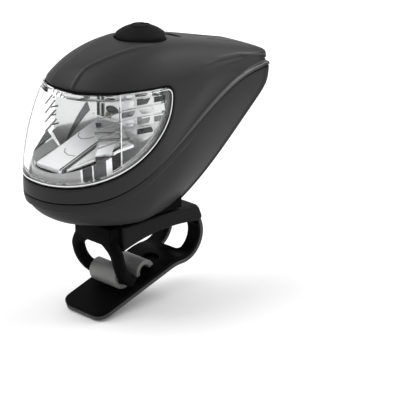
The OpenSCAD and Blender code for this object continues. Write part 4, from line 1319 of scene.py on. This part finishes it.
class HEADLIGHT_OT_bracket(Operator):
    """Bracket arm with its rail, and the yoke in front of it"""

    bl_idname = "headlight.bracket"
    bl_label = "Bracket"

    def execute(self, context):
        under = ARM_TOP - ARM_T
        y = np.linspace(ARM_REAR, ARM_FRONT, 30)
        arch = np.c_[y, under - ARCH_R + np.sqrt(ARCH_R**2 - (y - ARCH_MID) ** 2)]
        outline = np.vstack([[[ARM_FRONT, ARM_TOP], [ARM_REAR, ARM_TOP], [18.4, ARM_TOP - 1.4],
                              [19.9, under + 0.6], [19.4, under - 0.5]], arch])
        arm = pillow(lambda p: in_polygon(p, outline), (-19.2, -74.5), (20.2, -64.2), 0.6,
                     lambda p, h: np.c_[h, p[:, 0], p[:, 1]], ARM_HW, 1.0)
        neck = box_part((-RAIL["neck_hw"], RAIL["front"], ARM_TOP - 0.5),
                        (RAIL["neck_hw"], RAIL["rear"], ARM_TOP + RAIL["neck_top"]))
        head = box_part((-RAIL["head_hw"], RAIL["front"], ARM_TOP + RAIL["head_low"]),
                        (RAIL["head_hw"], RAIL["rear"], ARM_TOP + RAIL["head_top"]))
        arm = join(arm, neck, head)
        piece("bracket_arm_body", arm, "bracket", "bracket_black", "bracket_arm", finish="arm_black")

        path, bar_at = yoke_path()
        low, high = 7.4, bar_at - LEG_W / 2

        def in_yoke(p):
            across, along = np.abs(p[:, 0]), p[:, 1]
            half = YOKE_HW + 3.3 * ramp(along, 3, 8) - 1.2 * ramp(along, 14, 9)
            foot = np.c_[across - half + YOKE_CORNER, along - path.length + YOKE_CORNER]
            arch = np.where(along < (low + high) / 2, 5.0, 1.2)
            hole = np.c_[across - half + LEG_W + arch,
                         np.abs(along - (low + high) / 2) - (high - low) / 2 + arch]
            around = np.minimum(corner_depth(foot, YOKE_CORNER), -corner_depth(hole, arch))
            return np.minimum(around, along + 0.01)

        yoke = pillow(in_yoke, (-13.4, 0), (13.4, path.length), 0.45, path.bend, BAR_R, BAR_R)
        piece("bracket_yoke_body", yoke, "bracket", "bracket_black", "bracket_yoke")
        block = box_part((-YOKE_HW, -24.0, ARM_TOP - 7.2), (YOKE_HW, -17.0, ARM_TOP))
        c, s = circle(32)
        boss = np.c_[BAR[0] + BAR_R * c, BAR[1] + BAR_R * s]
        ends = [slab_part(boss, *sorted((sign * 7.7, sign * 11.6))) for sign in (1, -1)]
        piece("bracket_block", join(block, *ends), "bracket", "bracket_black", bevel=0.7)
        return {"FINISHED"}


class HEADLIGHT_OT_strap(Operator):
    """Elastic strap in one piece, from its eye round the loop to the tongue"""

    bl_idname = "headlight.strap"
    bl_label = "Strap"

    def execute(self, context):
        groove = context.scene.headlight_sizes.strap_groove / MM
        path = strap_path()
        per_degree = math.radians(1) * LOOP_R
        dimple_at = path.length + RUN_FRONT - DIMPLE["before"]

        def flat_strap(inset):
            def depth(p):
                s = p[:, 1]
                widened = ramp(s, WIDEN_AT * per_degree, WIDEN_RUN * per_degree)
                wide = mix(EYE_HW, STRAP_HW, widened) - inset
                side = wide - np.abs(p[:, 0])
                middle, reach = path.length / 2 - 20, path.length / 2 + 20
                tongue = in_round_box(p, (0, middle), (STRAP_HW - inset, reach - inset), TIP_CORNER)
                slot_half = (SLOT["hw"] + inset, SLOT["half"] * per_degree + inset)
                slot = in_round_box(p, (0, SLOT["at"] * per_degree), slot_half, SLOT["corner"])
                return np.minimum(np.minimum(side, tongue), np.minimum(-slot, s + 0.01))
            return depth

        def dimpled(p):
            hole = 1 - np.hypot((p[:, 0] - DIMPLE["x"]) / DIMPLE["hw"], (p[:, 1] - dimple_at) / DIMPLE["hl"])
            return np.minimum(flat_strap(0.0)(p), -hole * DIMPLE["hl"])

        def layer(inside, step, offset, half, radius):
            """Slab along the strap, offset from its middle line."""
            return pillow(inside, (-11.2, 0), (11.2, path.length), step,
                          lambda p, h: path.bend(p, h + offset), half, radius)

        outer = join(*(layer(flat_strap(0.0), 0.6, mid, half, 0.32) for mid, half in EDGE_BEADS))
        core = layer(flat_strap(groove), 0.9, 0.0, 0.5, 0.1)
        inner = layer(dimpled, 0.6, -0.85, 0.65, 0.45)
        face = build("strap", *join(inner, core), finish_of("strap_rubber"))
        # The outer layer wears the lighter copy of the rubber, a painted sheen on the strap's edge.
        edge = build("strap_outer_layer", *outer, finish_of("strap_edge"))
        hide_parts("strap_loop", "strap_tongue")
        for layer_piece in (face, edge):
            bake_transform(layer_piece)

        c, s = circle(40)
        eye = slab_part(np.c_[EYE[0] + EYE_R * c, EYE[1] + EYE_R * s], -EYE_HW, EYE_HW)
        piece("strap_eye", eye, "bracket", "strap_rubber")
        return {"FINISHED"}


class HEADLIGHT_OT_hooks(Operator):
    """Grey hooks on the strap"""

    bl_idname = "headlight.hooks"
    bl_label = "Hooks"

    def execute(self, context):
        def on_strap(p, h):
            """Side view (along the strap, over it) drawn out sideways."""
            y, z = p[:, 0], p[:, 1] + 1.5
            return np.c_[h, RUN[0] + y * math.cos(SLOPE) - z * math.sin(SLOPE),
                         RUN[1] + y * math.sin(SLOPE) + z * math.cos(SLOPE)]

        def drawn(outline, half):
            low, high = np.min(outline, axis=0) - 0.1, np.max(outline, axis=0) + 0.1
            return pillow(lambda p: in_polygon(p, outline), low, high, 0.3, on_strap, half, 0.45)

        r, t, foot = 2.6, 1.8, 2.6
        a = np.radians(np.linspace(64, 270, 34))
        outer = np.c_[(r + t) * np.cos(a), (r + t) * np.sin(a) + r + t]
        inner = np.c_[r * np.cos(a[::-1]), r * np.sin(a[::-1]) + r + t]
        front = drawn(np.vstack([outer, [[foot, 0], [foot, t]], inner]), 7.1)
        a = np.radians(np.linspace(7, 180, 34))
        outer = np.c_[10.3 + 4.4 * np.cos(a), 4.6 * np.sin(a)]
        inner = np.c_[10.1 + 2.4 * np.cos(a[::-1]), 2.8 * np.sin(a[::-1])]
        spare = drawn(np.vstack([outer, inner]), 6.6)
        piece("strap_hook_pair", join(front, spare), "strap_tail", "hook_grey", "strap_hooks")
        return {"FINISHED"}


class HEADLIGHT_OT_inner(Operator):
    """Finishes of the solids that show or lie inside"""

    bl_idname = "headlight.inner"
    bl_label = "Inner Pieces"

    def execute(self, context):
        slots = {s["node"]: s["material_slot"] for s in frame["record"]["subparts"]}
        for name, obj in frame["nodes"].items():
            obj.data.materials.clear()
            obj.data.materials.append(finish_of(slots[name]))
        return {"FINISHED"}


# Stage

# The camera's place is a direction and a distance from the button base.
CAMERA_WAY, CAMERA_FAR = (0.7224, -0.6434, 0.2533), 733.4
CAMERA_AIM, FOCAL = (24.88, 5.69, -56.5), 185.6
KEY_FROM, KEY_SUN, KEY_ANGLE = (-0.36, -0.34, 0.87), 1.4, 45
FILL_FROM, FILL_WATTS, FILL_SIZE = (0.3, 0.8, 0.8), 5.5, 0.7
SKY, FLOOR_WHITE, FLOOR_HALF, FLOOR_GAP = 0.82, 0.92, 4, 0.0004


class HEADLIGHT_OT_stage(Operator):
    """Pale floor, soft light and the camera"""

    bl_idname = "headlight.stage"
    bl_label = "Stage"

    def execute(self, context):
        scene = context.scene
        floor_mesh = bpy.data.meshes.new("floor")
        corners = ((-1, -1), (1, -1), (1, 1), (-1, 1))
        spots = [(x * FLOOR_HALF, y * FLOOR_HALF, cad_low.z - FLOOR_GAP) for x, y in corners]
        floor_mesh.from_pydata(spots, [], [[0, 1, 2, 3]])
        floor_mesh.materials.append(material("floor_white", (FLOOR_WHITE,) * 3, 0.9))
        floor = bpy.data.objects.new("floor", floor_mesh)
        scene.collection.objects.link(floor)

        world = bpy.data.worlds.new("studio")
        world.use_nodes = True
        sky = world.node_tree.nodes["Background"]
        sky.inputs["Color"].default_value = (1, 1, 1, 1)
        sky.inputs["Strength"].default_value = SKY
        scene.world = world
        key = bpy.data.lights.new("key", "SUN")
        key.energy, key.angle = KEY_SUN, math.radians(KEY_ANGLE)
        fill = bpy.data.lights.new("fill", "AREA")
        fill.energy, fill.size = FILL_WATTS, FILL_SIZE
        for light, spot in ((key, KEY_FROM), (fill, FILL_FROM)):
            lamp = bpy.data.objects.new(light.name, light)
            lamp.location = spot
            lamp.rotation_euler = (Vector((0, 0, 0.03)) - Vector(spot)).to_track_quat("-Z", "Y").to_euler()
            scene.collection.objects.link(lamp)

        data = bpy.data.cameras.new("camera")
        data.lens, data.sensor_width = FOCAL, 36
        data.clip_start, data.clip_end = 0.01, 50
        camera = bpy.data.objects.new("camera", data)
        eye = at(*(v * CAMERA_FAR for v in CAMERA_WAY))
        camera.location = eye
        camera.rotation_euler = (at(*CAMERA_AIM) - eye).to_track_quat("-Z", "Y").to_euler()
        scene.collection.objects.link(camera)
        scene.camera = camera
        scene.view_settings.view_transform = "Standard"
        return {"FINISHED"}


PIECES = (HEADLIGHT_OT_shells, HEADLIGHT_OT_lens, HEADLIGHT_OT_reflector, HEADLIGHT_OT_shelf,
          HEADLIGHT_OT_button, HEADLIGHT_OT_top_lights, HEADLIGHT_OT_flap, HEADLIGHT_OT_bracket,
          HEADLIGHT_OT_strap, HEADLIGHT_OT_hooks, HEADLIGHT_OT_inner, HEADLIGHT_OT_stage)


class HEADLIGHT_PT_panel(Panel):
    """Lists the pieces of the headlight"""

    bl_idname = "HEADLIGHT_PT_panel"
    bl_label = "Bike Headlight"
    bl_space_type = "VIEW_3D"
    bl_region_type = "UI"
    bl_category = "Headlight"

    def draw(self, context):
        layout = self.layout
        for group in (context.scene.headlight_sizes, context.scene.headlight_colours):
            for key in group.__annotations__:
                layout.prop(group, key)
        for operator in PIECES:
            layout.operator(operator.bl_idname)


CLASSES = (HeadlightSizes, HeadlightColours, *PIECES, HEADLIGHT_PT_panel)


def register():
    for c in CLASSES:
        bpy.utils.register_class(c)
    bpy.types.Scene.headlight_sizes = PointerProperty(type=HeadlightSizes)
    bpy.types.Scene.headlight_colours = PointerProperty(type=HeadlightColours)


def unregister():
    del bpy.types.Scene.headlight_colours
    del bpy.types.Scene.headlight_sizes
    for c in reversed(CLASSES):
        bpy.utils.unregister_class(c)


def main():
    register()
    for operator in PIECES:
        group, name = operator.bl_idname.split(".")
        getattr(getattr(bpy.ops, group), name)()


if __name__ == "__main__":
    main()
